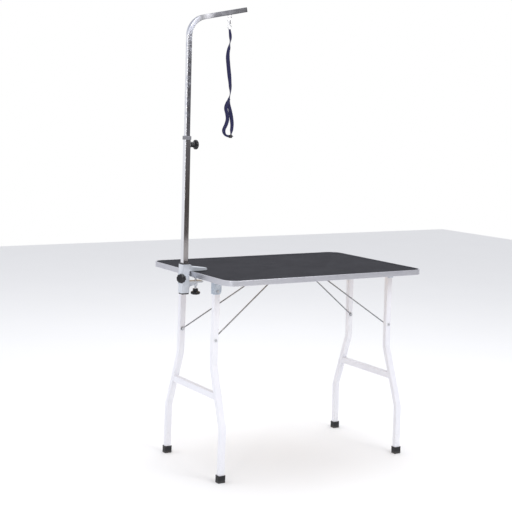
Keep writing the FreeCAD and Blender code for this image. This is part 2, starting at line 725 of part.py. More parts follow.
def brace(side):
    """Two rods, splayed from the bar to the legs, with flat eyes on the bolts."""
    wire = brace_wire.value / 2
    bar_at = Vec(side.bar_x.value, 0, side.bar_z.value)
    bolt_at = Vec(side.bolt_x.value, 0, side.bolt_z.value)
    half = bar_half.value
    bar_end = Y_AXIS * (bar_half + bar_overhang).value
    bar = rod(bar_at - bar_end, bar_at + bar_end, bar_radius.value)
    along = (bar_at - bolt_at).normalize()
    for end, sy in ENDS:
        middle = bolt_at + Y_AXIS * (sy * eye_middle().value)
        neck = middle + along * (eye_radius.value + 9) - Y_AXIS * (sy * rod_set_in.value)
        end_at = bar_at + Y_AXIS * (sy * half)
        flat = eye_thick.value / 2
        shape = rod(middle - Y_AXIS * flat, middle + Y_AXIS * flat, eye_radius.value)
        shape = shape.fuse(rod(middle + along * 3, neck, flat))
        shape = shape.fuse(Part.makeSphere(wire, neck)).fuse(rod(neck, end_at, wire))
        hole = rod(middle - Y_AXIS * 9, middle + Y_AXIS * 9,
                   bolt_radius.value + bolt_clearance.value)
        part_feature(f"{side.name}_brace_rod_{end}", shape.cut(hole).cut(bar))
    part_feature(f"{side.name}_brace_bar", bar)


def brace_bolts(side):
    """Shoulder bolts that the brace eyes turn on, nutted outside each leg."""
    shapes = []
    head_at = (leg_top_half - leg_thick / 2 - eye_thick - 2 * eye_gap).value
    nut_at = (leg_top_half + leg_thick / 2).value + 0.1
    for end, sy in ENDS:
        outward = Y_AXIS * sy
        axis = Vec(side.bolt_x.value, 0, side.bolt_z.value)
        shank = rod(axis + outward * head_at, axis + outward * (nut_at + 4.5),
                    bolt_radius.value)
        head = rod(axis + outward * (head_at - 2.6), axis + outward * head_at, 5.5)
        nut = hexagon(10, 3.6, axis + outward * nut_at, outward)
        shapes.append(shank.fuse([head, nut]))
    part_feature(f"{side.name}_brace_bolts", Part.makeCompound(shapes))


def brace_catch(side):
    """A folded plate screwed under the board, whose hooked lip holds the brace bar."""
    at = place(side.bar_x.value, 0, underside.value, facing(side))
    body = new_body(f"{side.name}_brace_catch", at)
    hollow = bar_radius + seat_gap
    bar_z, wall = -side.seat, catch_plate
    back = hollow + wall
    outline = new_sketch(body, "XZ_Plane")
    polygon(outline, [(hollow, 0), (catch_foot, 0), (catch_foot, -wall), (back, -wall),
                      (back, bar_z - hollow * 0.5), (hollow, bar_z - hollow - wall),
                      (hollow * 0.5, bar_z - hollow - wall), (hollow * 0.5, bar_z),
                      (hollow, bar_z)])
    pad(body, outline, catch_half * 2, both_ways=True)
    groove = new_sketch(body, "XZ_Plane")
    circle(groove, 0, bar_z, hollow)
    pocket(body, groove, catch_half * 4, both_ways=True)
    holes = new_sketch(body, "XY_Plane")
    for along, across in catch_screws():
        circle(holes, along, across, screw_radius + 0.2)
    pocket(body, holes, wall + 0.5)


# ---------------------------------------------------------------- knobs
def lobed_knob(label, hub, at):
    """A hub, a flared crown with ten finger scallops and a domed end."""
    body = new_body(label, at)
    r, crown = knob_radius, knob_crown
    outline = new_sketch(body, "XZ_Plane")
    polygon(outline, [(0, 0), (knob_hub_radius, 0), (knob_hub_radius, hub),
                      (r * 0.93, hub + crown * 0.2), (r, hub + crown * 0.33),
                      (r, hub + crown * 0.62), (r * 0.9, hub + crown * 0.82),
                      (r * 0.55, hub + crown * 0.97), (0, hub + crown)])
    turned = body.newObject("PartDesign::Revolution", f"{body.Name}_turned")
    turned.Profile = outline
    turned.ReferenceAxis = (outline, ["V_Axis"])
    turned.Angle = 360
    doc.recompute()
    lobe = new_sketch(body, "XY_Plane", hub)
    circle(lobe, r + 2.2, 0, 4.2)
    scallop = pocket(body, lobe, crown + 1, reverse=True)
    around = body.newObject("PartDesign::PolarPattern", f"{body.Name}_lobes")
    around.Originals = [scallop]
    around.Axis = (lobe, ["N_Axis"])
    around.Angle = 360
    around.Occurrences = 10
    body.Tip = around


def stud(label, start, end, radius):
    """A screw, shown as its plain core."""
    part_feature(label, rod(start, end, radius))


# ---------------------------------------------------------------- clamp
def clamp_frame():
    """One casting: the sleeve, both jaws, the gusset and the screw bosses."""
    body = new_body("clamp_frame", place(pole_x.value, clamp_y.value, top_surface.value))
    half = sleeve_x / 2
    screw_x = half + clamp_screw_inset
    sleeve_length = sleeve_bottom + sleeve_top

    block = new_sketch(body, "XY_Plane", -sleeve_bottom)
    rounded_rectangle(block, sleeve_x, sleeve_y, 4)
    pad(body, block, sleeve_length)

    tip = half + jaw_reach
    upper = new_sketch(body, "XZ_Plane")
    polygon(upper, [(half - 4, jaw_gap), (tip - 3, jaw_gap), (tip, jaw_gap + 3),
                    (tip, jaw_gap + 6), (tip - 3, jaw_gap + 9), (half + 24, jaw_gap + 16),
                    (half + 15, jaw_gap + 16.5), (half, sleeve_top), (half - 4, sleeve_top)])
    pad(body, upper, sleeve_y, both_ways=True)

    jaw_top, end = -lower_jaw_drop, half + lower_jaw_reach
    jaw_low = jaw_top - lower_jaw_thick
    lower = new_sketch(body, "XZ_Plane")
    polygon(lower, [(half - 4, jaw_top), (end - 2, jaw_top), (end, jaw_top - 2),
                    (end - 3, jaw_low), (half - 4, jaw_low)])
    pad(body, lower, sleeve_y, both_ways=True)

    gusset = new_sketch(body, "XZ_Plane")
    polygon(gusset, [(half - 4, jaw_low + 1), (end - 12, jaw_low + 1), (end - 15, jaw_low - 2),
                     (half + 7, -sleeve_bottom + 22), (half - 1, -sleeve_bottom + 3),
                     (half - 4, -sleeve_bottom + 3)])
    pad(body, gusset, size(9), both_ways=True)

    taper = new_sketch(body, "XY_Plane")
    wide = sleeve_y / 2
    for sign in (-1, 1):
        polygon(taper, [(tip - 34, wide * sign), (tip + 1, wide * 0.5 * sign),
                        (tip + 1, (wide + 1) * sign), (tip - 34, (wide + 1) * sign)])
    tapered = pocket(body, taper, size(30), reverse=True)
    doc.recompute()
    shape = tapered.Shape
    over_jaw = [f"Edge{i + 1}" for i, edge in enumerate(shape.Edges)
                if edge.CenterOfMass.x > half.value + 1 and edge.CenterOfMass.z > 8
                and edge.BoundBox.XLength > 2 and abs(edge.CenterOfMass.y) > 4]
    softened = body.newObject("PartDesign::Fillet", "clamp_frame_softened")
    softened.Base = (tapered, over_jaw)
    softened.Radius = casting_round.value
    softened.setExpression("Radius", casting_round.text)
    doc.recompute()

    boss = new_sketch(body, "XY_Plane", jaw_low - 12)
    circle(boss, screw_x, 0, clamp_screw_radius + 4)
    pad(body, boss, size(13))
    thread = new_sketch(body, "XY_Plane", jaw_low - 20)
    circle(thread, screw_x, 0, clamp_screw_radius + bolt_clearance)
    pocket(body, thread, lower_jaw_thick + 30, reverse=True)

    corner = Rot(Y_AXIS, -45)
    side_boss = new_sketch(body, "XZ_Plane")
    side_boss.AttachmentOffset = FreeCAD.Placement(Vec(0, 0, 0), corner)
    circle(side_boss, 0, -sleeve_knob_drop, set_screw_radius + 5)
    pad(body, side_boss, sleeve_boss_reach())
    set_screw = new_sketch(body, "XZ_Plane")
    set_screw.AttachmentOffset = FreeCAD.Placement(Vec(0, 0, 0), corner)
    circle(set_screw, 0, -sleeve_knob_drop, set_screw_radius + bolt_clearance)
    pocket(body, set_screw, sleeve_x * 2, reverse=True)

    bore = new_sketch(body, "XY_Plane", -sleeve_bottom)
    rounded_rectangle(bore, sleeve_bore, sleeve_bore, 1.5)
    pocket(body, bore, sleeve_length, reverse=True)


def sleeve_boss_reach():
    """Sleeve middle to the face of the set screw's corner boss."""
    return (sleeve_x + sleeve_y) / 2 * math.sqrt(0.5) + 1.5


def sleeve_bushes():
    """Collars that fill the sleeve's mouths and steady the pole."""
    gap = 0.05
    slide = lower_tube + slide_gap * 2
    for label, level, flip in (("sleeve_bush_top", top_surface + sleeve_top, 0),
                               ("sleeve_bush_bottom", top_surface - sleeve_bottom, 180)):
        at = place(pole_x.value, clamp_y.value, level.value, Rot(X_AXIS, flip))
        body = new_body(label, at)
        rim = new_sketch(body, "XY_Plane")
        rounded_rectangle(rim, sleeve_y - 1, sleeve_y - 1, 3)
        pad(body, rim, size(5))
        tail = new_sketch(body, "XY_Plane")
        rounded_rectangle(tail, sleeve_bore - 2 * gap, sleeve_bore - 2 * gap, 1.5)
        pad(body, tail, size(16), reverse=True)
        bore = new_sketch(body, "XY_Plane", size(-17))
        rounded_rectangle(bore, slide, slide, 1)
        pocket(body, bore, size(30), reverse=True)


def clamp_jaw_screw():
    """The swivel pad under the board and the screw and knob that raise it."""
    x = pole_x + sleeve_x / 2 + clamp_screw_inset
    pad_top = underside - fit_gap
    body = new_body("clamp_pad", place(x.value, clamp_y.value, pad_top.value))
    outline = new_sketch(body, "XZ_Plane")
    r = clamp_screw_radius + bolt_clearance
    polygon(outline, [(0, 0), (11.5, 0), (12, -1), (12, -4), (6.5, -5.5), (6.5, -9.5),
                      (r, -9.5), (r, -4.5), (0, -4.5)])
    turned = body.newObject("PartDesign::Revolution", "clamp_pad_turned")
    turned.Profile = outline
    turned.ReferenceAxis = (outline, ["V_Axis"])
    turned.Angle = 360

    knob_top = Vec(x.value, clamp_y.value, top_surface.value - 70)
    stud("clamp_screw", knob_top - Z_AXIS * 12,
         Vec(x.value, clamp_y.value, pad_top.value - 4.55), clamp_screw_radius.value)
    at = FreeCAD.Placement(knob_top, Rot(X_AXIS, 180))
    knob_with_socket("clamp_knob", clamp_knob_hub, at, clamp_screw_radius, 12)


def knob_with_socket(label, hub, at, radius, depth):
    """A lobed knob with a blind socket for its screw."""
    lobed_knob(label, hub, at)
    body = pieces[-1]
    doc.recompute()
    socket = new_sketch(body, "XY_Plane")
    circle(socket, 0, 0, radius + 0.02)
    pocket(body, socket, size(depth), reverse=True)


def sleeve_knob():
    """The set screw that holds the pole points out through the near outer corner."""
    level = top_surface.value - sleeve_knob_drop.value
    centre = Vec(pole_x.value, clamp_y.value, level)
    outward = Vec(-math.sqrt(0.5), -math.sqrt(0.5), 0)
    start = centre + outward * (sleeve_boss_reach().value + 0.5)
    at = FreeCAD.Placement(start, Rot(Z_AXIS, outward))
    tip = centre + outward * (lower_tube.value * math.sqrt(0.5) + 0.3)
    stud("sleeve_stud", tip, start + outward * 10, set_screw_radius.value)
    knob_with_socket("sleeve_knob", sleeve_knob_hub, at, set_screw_radius, 10)


# ---------------------------------------------------------------- pole and arm
def square_section(body, offset, width, wall):
    section = new_sketch(body, "XY_Plane", offset)
    rounded_rectangle(section, width, width, 2)
    inner = width - 2 * wall
    rounded_rectangle(section, inner, inner, 0.6)
    return section


def lower_pole():
    """A square tube with a welded nut for its knob and a collar on top."""
    at = place(pole_x.value, clamp_y.value, lower_pole_top.value)
    body = new_body("lower_pole", at)
    length = lower_pole_top - lower_pole_bottom
    pad(body, square_section(body, -length, lower_tube, lower_tube_wall), length)
    hole = new_sketch(body, "YZ_Plane")
    circle(hole, 0, -pole_knob_drop, set_screw_radius + bolt_clearance)
    pocket(body, hole, lower_tube, reverse=True)

    face = lower_tube / 2
    nut = new_body("pole_nut", place(pole_x.value, clamp_y.value,
                                     (lower_pole_top - pole_knob_drop).value))
    outline = new_sketch(nut, "YZ_Plane", face + 0.02)
    rounded_rectangle(outline, 13, 13, 2)
    circle(outline, 0, 0, set_screw_radius + bolt_clearance)
    pad(nut, outline, size(4))

    collar = new_body("pole_collar", at)
    outer = new_sketch(collar, "XY_Plane", size(-7))
    rounded_rectangle(outer, lower_tube + 4, lower_tube + 4, 3)
    pad(collar, outer, size(14))
    seat = new_sketch(collar, "XY_Plane", size(-7))
    rounded_rectangle(seat, lower_tube, lower_tube, 2)
    pocket(collar, seat, size(7), reverse=True)
    bore = new_sketch(collar, "XY_Plane", size(-8))
    rounded_rectangle(bore, upper_tube + slide_gap * 2, upper_tube + slide_gap * 2, 2)
    pocket(collar, bore, size(20), reverse=True)


def pole_knob():
    level = (lower_pole_top - pole_knob_drop).value
    centre = Vec(pole_x.value, clamp_y.value, level)
    start = centre + X_AXIS * (lower_tube.value / 2 + 4.5)
    at = FreeCAD.Placement(start, Rot(Z_AXIS, X_AXIS))
    tip = centre + X_AXIS * (upper_tube.value / 2 + 0.3)
    stud("pole_stud", tip, start + X_AXIS * 12, set_screw_radius.value)
    knob_with_socket("pole_knob", pole_knob_hub, at, set_screw_radius, 12)


def upper_pole():
    """A square tube bent over into the arm, with two holes for the hook."""
    body = new_body("upper_pole", place(pole_x.value, clamp_y.value, arm_corner_height.value))
    low = arm_corner_height - lower_pole_top + upper_overlap
    section = square_section(body, -low, upper_tube, upper_tube_wall)
    spine = new_sketch(body, "XZ_Plane")
    turn, radius = 90 - arm_rise.value, arm_bend_radius.value
    tangent = radius * math.tan(deg(turn / 2))
    rise = deg(arm_rise.value)
    along = Vec(math.cos(rise), math.sin(rise), 0)
    line(spine, Vec(0, -low.value, 0), Vec(0, -tangent, 0))
    arc(spine, Vec(radius, -tangent, 0), radius, math.pi - deg(turn), math.pi)
    line(spine, along * tangent, along * arm_length.value)
    spine.addConstraint(Sketcher.Constraint("Tangent", 0, 2, 1, 2))
    spine.addConstraint(Sketcher.Constraint("Tangent", 1, 1, 2, 1))
    spine.addConstraint(Sketcher.Constraint("Vertical", 0))
    spine.addConstraint(Sketcher.Constraint("PointOnObject", 0, 1, -2))
    offset_y(spine, 0, 1, -low)
    fix(spine, Sketcher.Constraint("Radius", 1, radius), arm_bend_radius)
    offset_x(spine, 2, 2, arm_length * cos(arm_rise))
    offset_y(spine, 2, 2, arm_length * sin(arm_rise))
    slant = spine.addConstraint(Sketcher.Constraint("Angle", 2, rise))
    spine.setExpression(f"Constraints[{slant}]", f"{arm_rise.text} * 1 deg")
    tube = body.newObject("PartDesign::AdditivePipe", "upper_pole_tube")
    tube.Profile = section
    tube.Spine = spine
    doc.recompute()
    holes = new_sketch(body, "XY_Plane")
    under = hook_point(upper_tube / 2)
    tilt = Rot(Y_AXIS, -arm_rise.value)
    holes.AttachmentOffset = FreeCAD.Placement(Vec(under[0].value, 0, under[1].value), tilt)
    holes.setExpression("AttachmentOffset.Base.x", under[0].text)
    holes.setExpression("AttachmentOffset.Base.z", under[1].text)
    for sign in (-1, 1):
        circle(holes, hook_hole_offset * sign, 0, hook_hole_radius)
    pocket(body, holes, upper_tube_wall * 3, both_ways=True)


def hook_point(below):
    """A point under the arm at the hook, from the corner of pole and arm."""
    x = hook_along * cos(arm_rise) + below * sin(arm_rise)
    z = hook_along * sin(arm_rise) - below * cos(arm_rise)
    return x, z


def arm_end_cap():
    """A black plug in the open end of the arm."""
    rise = deg(arm_rise.value)
    reach = arm_length.value
    at = place(pole_x.value + reach * math.cos(rise), clamp_y.value,
               arm_corner_height.value + reach * math.sin(rise),
               Rot(Y_AXIS, 90 - arm_rise.value))
    body = new_body("arm_end_cap", at)
    face = new_sketch(body, "XY_Plane")
    rounded_rectangle(face, upper_tube, upper_tube, 2)
    pad(body, face, size(2.5))
    inner = upper_tube - 2 * upper_tube_wall - 0.1
    tail = new_sketch(body, "XY_Plane")
    rounded_rectangle(tail, inner, inner, 0.6)
    pad(body, tail, size(12), reverse=True)


# ---------------------------------------------------------------- hook and noose
def hook_middle():
    x, z = hook_point(upper_tube / 2 + hook_drop)
    return pole_x + x, arm_corner_height + z


def snap_hook():
    """Bow, shoulder and barrel in one casting, drawn about the bow's middle."""
    x, z = hook_middle()
    body = new_body("snap_hook", place(x.value, clamp_y.value, z.value))
    section = new_sketch(body, "XY_Plane", -hook_side)
    circle(section, -hook_ring, 0, hook_wire)
    spine = new_sketch(body, "XZ_Plane")
    ring, side, gate = hook_ring.value, hook_side.value, hook_gate.value
    line(spine, Vec(-ring, -side, 0), Vec(-ring, 0, 0))
    arc(spine, Vec(0, 0, 0), ring, 0, math.pi)
    line(spine, Vec(ring, 0, 0), Vec(ring, -gate, 0))
    spine.addConstraint(Sketcher.Constraint("Tangent", 0, 2, 1, 2))
    spine.addConstraint(Sketcher.Constraint("Tangent", 1, 1, 2, 1))
    spine.addConstraint(Sketcher.Constraint("Coincident", 1, 3, -1, 1))
    spine.addConstraint(Sketcher.Constraint("Vertical", 0))
    spine.addConstraint(Sketcher.Constraint("Vertical", 2))
    fix(spine, Sketcher.Constraint("Radius", 1, ring), hook_ring)
    offset_y(spine, 0, 1, -hook_side)
    offset_y(spine, 2, 2, -hook_gate)
    bow = body.newObject("PartDesign::AdditivePipe", "snap_hook_bow")
    bow.Profile = section
    bow.Spine = spine
    doc.recompute()

    wide, top = hook_ring + hook_wire, -hook_side
    shoulder = new_sketch(body, "XZ_Plane")
    polygon(shoulder, [(-wide, top), (wide + 0.5, top), (wide + 0.5, top - 12),
                       (3, top - 16), (-3, top - 14), (-wide, top - 4)])
    pad(body, shoulder, size(5.5), both_ways=True)
    barrel = new_sketch(body, "XZ_Plane")
    r, low = hook_body_radius, top - hook_body_length
    polygon(barrel, [(0, top - 1), (r, top - 1), (r, low + 2), (r - 1, low), (0, low)])
    turned = body.newObject("PartDesign::Revolution", "snap_hook_barrel")
    turned.Profile = barrel
    turned.ReferenceAxis = (barrel, ["V_Axis"])
    turned.Angle = 360
    doc.recompute()

    guide = new_sketch(body, "XY_Plane", top)
    circle(guide, hook_ring, 0, hook_wire + 0.15 - 0.2)
    pocket(body, guide, hook_travel + 4.4)
    slot = new_sketch(body, "XY_Plane", top - 1.6)
    polygon(slot, [(hook_ring, -1.3), (wide + 2, -1.3), (wide + 2, 1.3), (hook_ring, 1.3)])
    pocket(body, slot, hook_travel + 2.8)
    pin = new_sketch(body, "XZ_Plane")
    polygon(pin, [(0, low - 1), (swivel_pin + 0.1, low - 1), (swivel_pin + 0.1, low + 4),
                  (swivel_pin + 1.4, low + 4), (swivel_pin + 1.4, low + 7.5), (0, low + 7.5)])
    hollow = body.newObject("PartDesign::Groove", "snap_hook_swivel")
    hollow.Profile = pin
    hollow.ReferenceAxis = (pin, ["V_Axis"])
    hollow.Angle = 360


def snap_trigger():
    """The sliding bolt that closes the bow, with its thumb lever."""
    x, z = hook_middle()
    body = new_body("snap_trigger", place((x + hook_ring).value, clamp_y.value, z.value))
    top, low = -hook_gate - 0.2, -hook_side - 4
    bolt = new_sketch(body, "XY_Plane", low)
    circle(bolt, 0, 0, hook_wire - 0.2)
    pad(body, bolt, top - low)
    lever = new_sketch(body, "XZ_Plane")
    reach = hook_wire + 9
    polygon(lever, [(0, low), (reach, low + 0.4), (reach, low + 2), (0, low + 2.2)])
    pad(body, lever, size(2), both_ways=True)


def swivel_eye():
    """A ring on a headed pin that turns in the hook's barrel."""
    x, z = hook_middle()
    at = Vec(x.value, clamp_y.value, (z - hook_side - hook_body_length).value)
    ring_at = at - Z_AXIS * (swivel_ring.value + swivel_wire.value + 0.6)
    ring = Part.makeTorus(swivel_ring.value, swivel_wire.value, ring_at, Y_AXIS)
    pin = rod(ring_at + Z_AXIS * swivel_ring.value, at + Z_AXIS * 6.8, swivel_pin.value)
    head = rod(at + Z_AXIS * 4.4, at + Z_AXIS * 6.8, swivel_pin.value + 1.2)
    part_feature("swivel_eye", ring.fuse([pin, head]))


def cord_tube(label, route, radius):
    """A round tube of straight runs and tangent arcs through the route's points."""
    points = [Vec(*p) for p in route]
    runs = [(b - a).Length for a, b in zip(points, points[1:])]
    edges, start, radii = [], points[0], []
    for i in range(1, len(points) - 1):
        before = (points[i] - points[i - 1]).normalize()
        after = (points[i + 1] - points[i]).normalize()
        turn = before.getAngle(after)
        cut = 0.45 * min(runs[i - 1], runs[i])
        bend = cut / math.tan(turn / 2)
        enter, leave = points[i] - before * cut, points[i] + after * cut
        inward = (after - before).normalize()
        middle = points[i] + inward * (math.hypot(bend, cut) - bend)
        edges += [Part.LineSegment(start, enter).toShape(),
                  Part.Arc(enter, middle, leave).toShape()]
        start = leave
        radii.append(bend)
    edges.append(Part.LineSegment(start, points[-1]).toShape())
    path = Part.Wire(edges)
    section = Part.Wire(Part.Circle(points[0], points[1] - points[0], radius).toShape())
    tube = path.makePipeShell([section], True, False)
    expected = math.pi * radius ** 2 * path.Length
    print(f"{label}: length {path.Length:.1f} radii", *(f"{r:.0f}" for r in radii),
          f"volume {tube.Volume / expected:.4f} of the section times the length")
    part_feature(label, tube)


def noose():
    """Strap from the swivel eye down one side of the loop, and back up the other."""
    x, z = (value.value for value in hook_middle())
    y = clamp_y.value
    r = strap_radius.value
    cord_tube("noose_strap", [
        (x + 0.2, y, z - 49.1), (x + 8.4, y + 2, z - 78.9), (x + 2.9, y + 1, z - 110.9),
        (x - 6.1, y - 1, z - 144.9), (x - 1.6, y - 2, z - 186.9), (x + 4.9, y - 1, z - 226.9),
        (x + 11.4, y + 2, z - 264.9), (x + 13.9, y + 4, z - 294.9), (x + 2.9, y + 3, z - 322.9),
        (x + 14.9, y + 4, z - 354.9), (x + 21.9, y + 3, z - 386.9), (x + 24.4, y + 1, z - 418.9),
        (x + 17.4, y, z - 448.3)], r)
    cord_tube("noose_loop", [
        (x + 7.1, y - 2.3, z - 309.9), (x - 3.1, y - 4, z - 325.9), (x - 11.1, y - 4, z - 345.9),
        (x - 2.1, y - 3, z - 367.9), (x + 1.4, y - 2, z - 389.9), (x - 5.1, y - 1, z - 411.9),
        (x - 15.6, y, z - 430.9), (x - 9.1, y, z - 448.9), (x + 6.9, y, z - 454.9),
        (x + 27.9, y, z - 453.9)], r)


def noose_slider():
    """A small block that gathers the two sides of the loop."""
    x, z = hook_middle()
    at = place((x + 16.4).value, clamp_y.value, (z - 454.4).value)
    body = new_body("noose_slider", at)
    block = new_sketch(body, "XY_Plane", size(-6))
    rounded_rectangle(block, 12, 10, 2)
    pad(body, block, size(12))
    window = new_sketch(body, "YZ_Plane")
    circle(window, 0, 0, strap_radius + 0.6)
    pocket(body, window, size(40), both_ways=True)


# ---------------------------------------------------------------- assembly
table_top()
for side in (LEFT, RIGHT):
    for end, sy in ENDS:
        hinge_bracket(side, end, sy)
        bent_leg(side, end, sy)
        foot_cap(side, end, sy)
    pivot_bolts(side)
    crossbar(side)
    brace(side)
    brace_bolts(side)
    brace_catch(side)
board_screws()
clamp_frame()
sleeve_bushes()
clamp_jaw_screw()
sleeve_knob()
lower_pole()
pole_knob()
upper_pole()
arm_end_cap()
snap_hook()
snap_trigger()
swivel_eye()
noose()
noose_slider()
doc.recompute()

CORDS = ("noose_strap", "noose_loop")
box = FreeCAD.BoundBox()
for piece in pieces:
    if piece.Label not in CORDS:
        box.add(piece.Shape.optimalBoundingBox(False))
shift = Vec(-box.Center.x, -box.Center.y, 0)
for piece in pieces:
    piece.Placement = FreeCAD.Placement(piece.Placement.Base + shift,
                                        piece.Placement.Rotation)
doc.recompute()

for feature in doc.Objects:
    if "Invalid" in feature.State or "Error" in feature.State:
        raise RuntimeError(f"{feature.Name} did not build: {feature.State}")
for piece in pieces:
    if piece.Shape.isNull() or not piece.Shape.isValid():
        raise RuntimeError(f"{piece.Label} has no valid shape")
print(f"moved by {shift.x:.3f} {shift.y:.3f}, footprint {box.XLength:.1f} by "
      f"{box.YLength:.1f}, from {box.ZMin:.3f} to {box.ZMax:.1f}")

os.makedirs("parts", exist_ok=True)
for piece in pieces:
    piece.Shape.exportStep(f"parts/{piece.Label}.step")
print(len(pieces), "pieces written")
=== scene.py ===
import bpy
import bmesh
import json
import math
from mathutils import Matrix, Vector


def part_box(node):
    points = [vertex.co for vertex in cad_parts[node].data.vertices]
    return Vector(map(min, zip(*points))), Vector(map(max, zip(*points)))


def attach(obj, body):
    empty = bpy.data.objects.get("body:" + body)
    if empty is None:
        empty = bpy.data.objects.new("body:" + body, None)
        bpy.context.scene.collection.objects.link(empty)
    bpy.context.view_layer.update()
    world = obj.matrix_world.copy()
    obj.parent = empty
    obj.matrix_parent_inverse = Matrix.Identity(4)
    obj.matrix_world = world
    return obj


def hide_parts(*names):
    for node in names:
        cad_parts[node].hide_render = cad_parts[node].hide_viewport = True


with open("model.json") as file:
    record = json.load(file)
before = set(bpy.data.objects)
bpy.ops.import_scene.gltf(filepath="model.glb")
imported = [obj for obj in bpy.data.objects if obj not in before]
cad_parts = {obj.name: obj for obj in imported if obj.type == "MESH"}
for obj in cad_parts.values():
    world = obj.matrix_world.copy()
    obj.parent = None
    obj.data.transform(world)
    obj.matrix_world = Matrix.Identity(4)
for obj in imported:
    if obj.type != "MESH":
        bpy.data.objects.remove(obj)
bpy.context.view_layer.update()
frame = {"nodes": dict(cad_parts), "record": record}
print("frame loaded")


camera = {"place": (-2.522568, -3.8272, 1.3934), "yaw": 32.114, "pitch": -7.199,
          "roll": 1.6637, "lens": 80.85}


def addCamera():
    yaw, pitch, roll = (math.radians(camera[k]) for k in ("yaw", "pitch", "roll"))
    ahead = Vector((math.sin(yaw) * math.cos(pitch), math.cos(yaw) * math.cos(pitch),
                    math.sin(pitch)))
    level = Vector((math.cos(yaw), -math.sin(yaw), 0))
    upright = level.cross(ahead)
    right = level * math.cos(roll) + upright * math.sin(roll)
    up = upright * math.cos(roll) - level * math.sin(roll)
    turn = Matrix((right, up, -ahead)).transposed().to_4x4()
    data = bpy.data.cameras.new("camera")
    data.lens, data.sensor_width = camera["lens"], 36
    data.clip_end = 100
    holder = bpy.data.objects.new("camera", data)
    bpy.context.scene.collection.objects.link(holder)
    holder.matrix_world = Matrix.Translation(camera["place"]) @ turn
    bpy.context.scene.camera = holder


lamps = {
    "leftSoftbox": {"place": (-3.4, 1.4, 2.2), "size": (2.2, 2.0), "power": 14},
    "frontSoftbox": {"place": (1.0, -4.0, 2.9), "size": (2.4, 1.8), "power": 62},
    "topSoftbox": {"place": (0.3, 0.5, 3.9), "size": (3.4, 3.0), "power": 55},
    "cornerStrip": {"place": (-2.4, -1.9, 1.5), "size": (0.2, 1.4), "power": 7},
}


def addLamps():
    for name, lamp in lamps.items():
        data = bpy.data.lights.new(name, "AREA")
        data.shape = "RECTANGLE"
        data.size, data.size_y = lamp["size"]
        data.energy = lamp["power"]
        holder = bpy.data.objects.new(name, data)
        bpy.context.scene.collection.objects.link(holder)
        place = Vector(lamp["place"])
        aim = Vector((0, 0, 0.8)) - place
        holder.matrix_world = (Matrix.Translation(place)
                               @ aim.to_track_quat("-Z", "Y").to_matrix().to_4x4())


studio = {"dimSide": (0.53, -0.85, 0), "bright": (0.95, 0.96, 1.0, 1), "dim": (0.16, 0.15, 0.15, 1),
          "overhead": (0.92, 0.93, 0.97, 1), "strength": 0.85,
          "dimSpan": (0.1, 0.85), "overheadSpan": (0.05, 0.4)}


def addWorld():
    bpy.context.scene.view_settings.view_transform = "Standard"
    world = bpy.data.worlds.new("studio")
    bpy.context.scene.world = world
    world.use_nodes = True
    nodes, links = world.node_tree.nodes, world.node_tree.links
    nodes.clear()
    where = nodes.new("ShaderNodeTexCoord")
    facing = nodes.new("ShaderNodeVectorMath")     # the room is dim at the front right
    facing.operation = "DOT_PRODUCT"
    facing.inputs[1].default_value = studio["dimSide"]
    links.new(where.outputs["Generated"], facing.inputs[0])
    low = nodes.new("ShaderNodeValToRGB")
    tones = (studio["bright"], studio["dim"])
    for element, position, tone in zip(low.color_ramp.elements, studio["dimSpan"], tones):
        element.position, element.color = position, tone
    links.new(facing.outputs["Value"], low.inputs[0])
    split = nodes.new("ShaderNodeSeparateXYZ")
    links.new(where.outputs["Generated"], split.inputs[0])
    height = nodes.new("ShaderNodeMapRange")
    for socket, value in zip(("From Min", "From Max"), studio["overheadSpan"]):
        height.inputs[socket].default_value = value
    links.new(split.outputs["Z"], height.inputs["Value"])
    blend = nodes.new("ShaderNodeMix")      # its two colours are sockets 6 and 7
    blend.data_type = "RGBA"
    blend.inputs[7].default_value = studio["overhead"]
    links.new(height.outputs[0], blend.inputs[0])
    links.new(low.outputs[0], blend.inputs[6])
    around = nodes.new("ShaderNodeBackground")
    around.inputs["Strength"].default_value = studio["strength"]
    links.new(blend.outputs[2], around.inputs["Color"])
    behind = nodes.new("ShaderNodeBackground")      # the backdrop itself is plain white
    behind.inputs["Color"].default_value = (1, 1, 1, 1)
    behind.inputs["Strength"].default_value = 1.0
    seen = nodes.new("ShaderNodeLightPath")
    mix = nodes.new("ShaderNodeMixShader")
    links.new(seen.outputs["Is Camera Ray"], mix.inputs[0])
    links.new(around.outputs[0], mix.inputs[1])
    links.new(behind.outputs[0], mix.inputs[2])
    out = nodes.new("ShaderNodeOutputWorld")
    links.new(mix.outputs[0], out.inputs["Surface"])


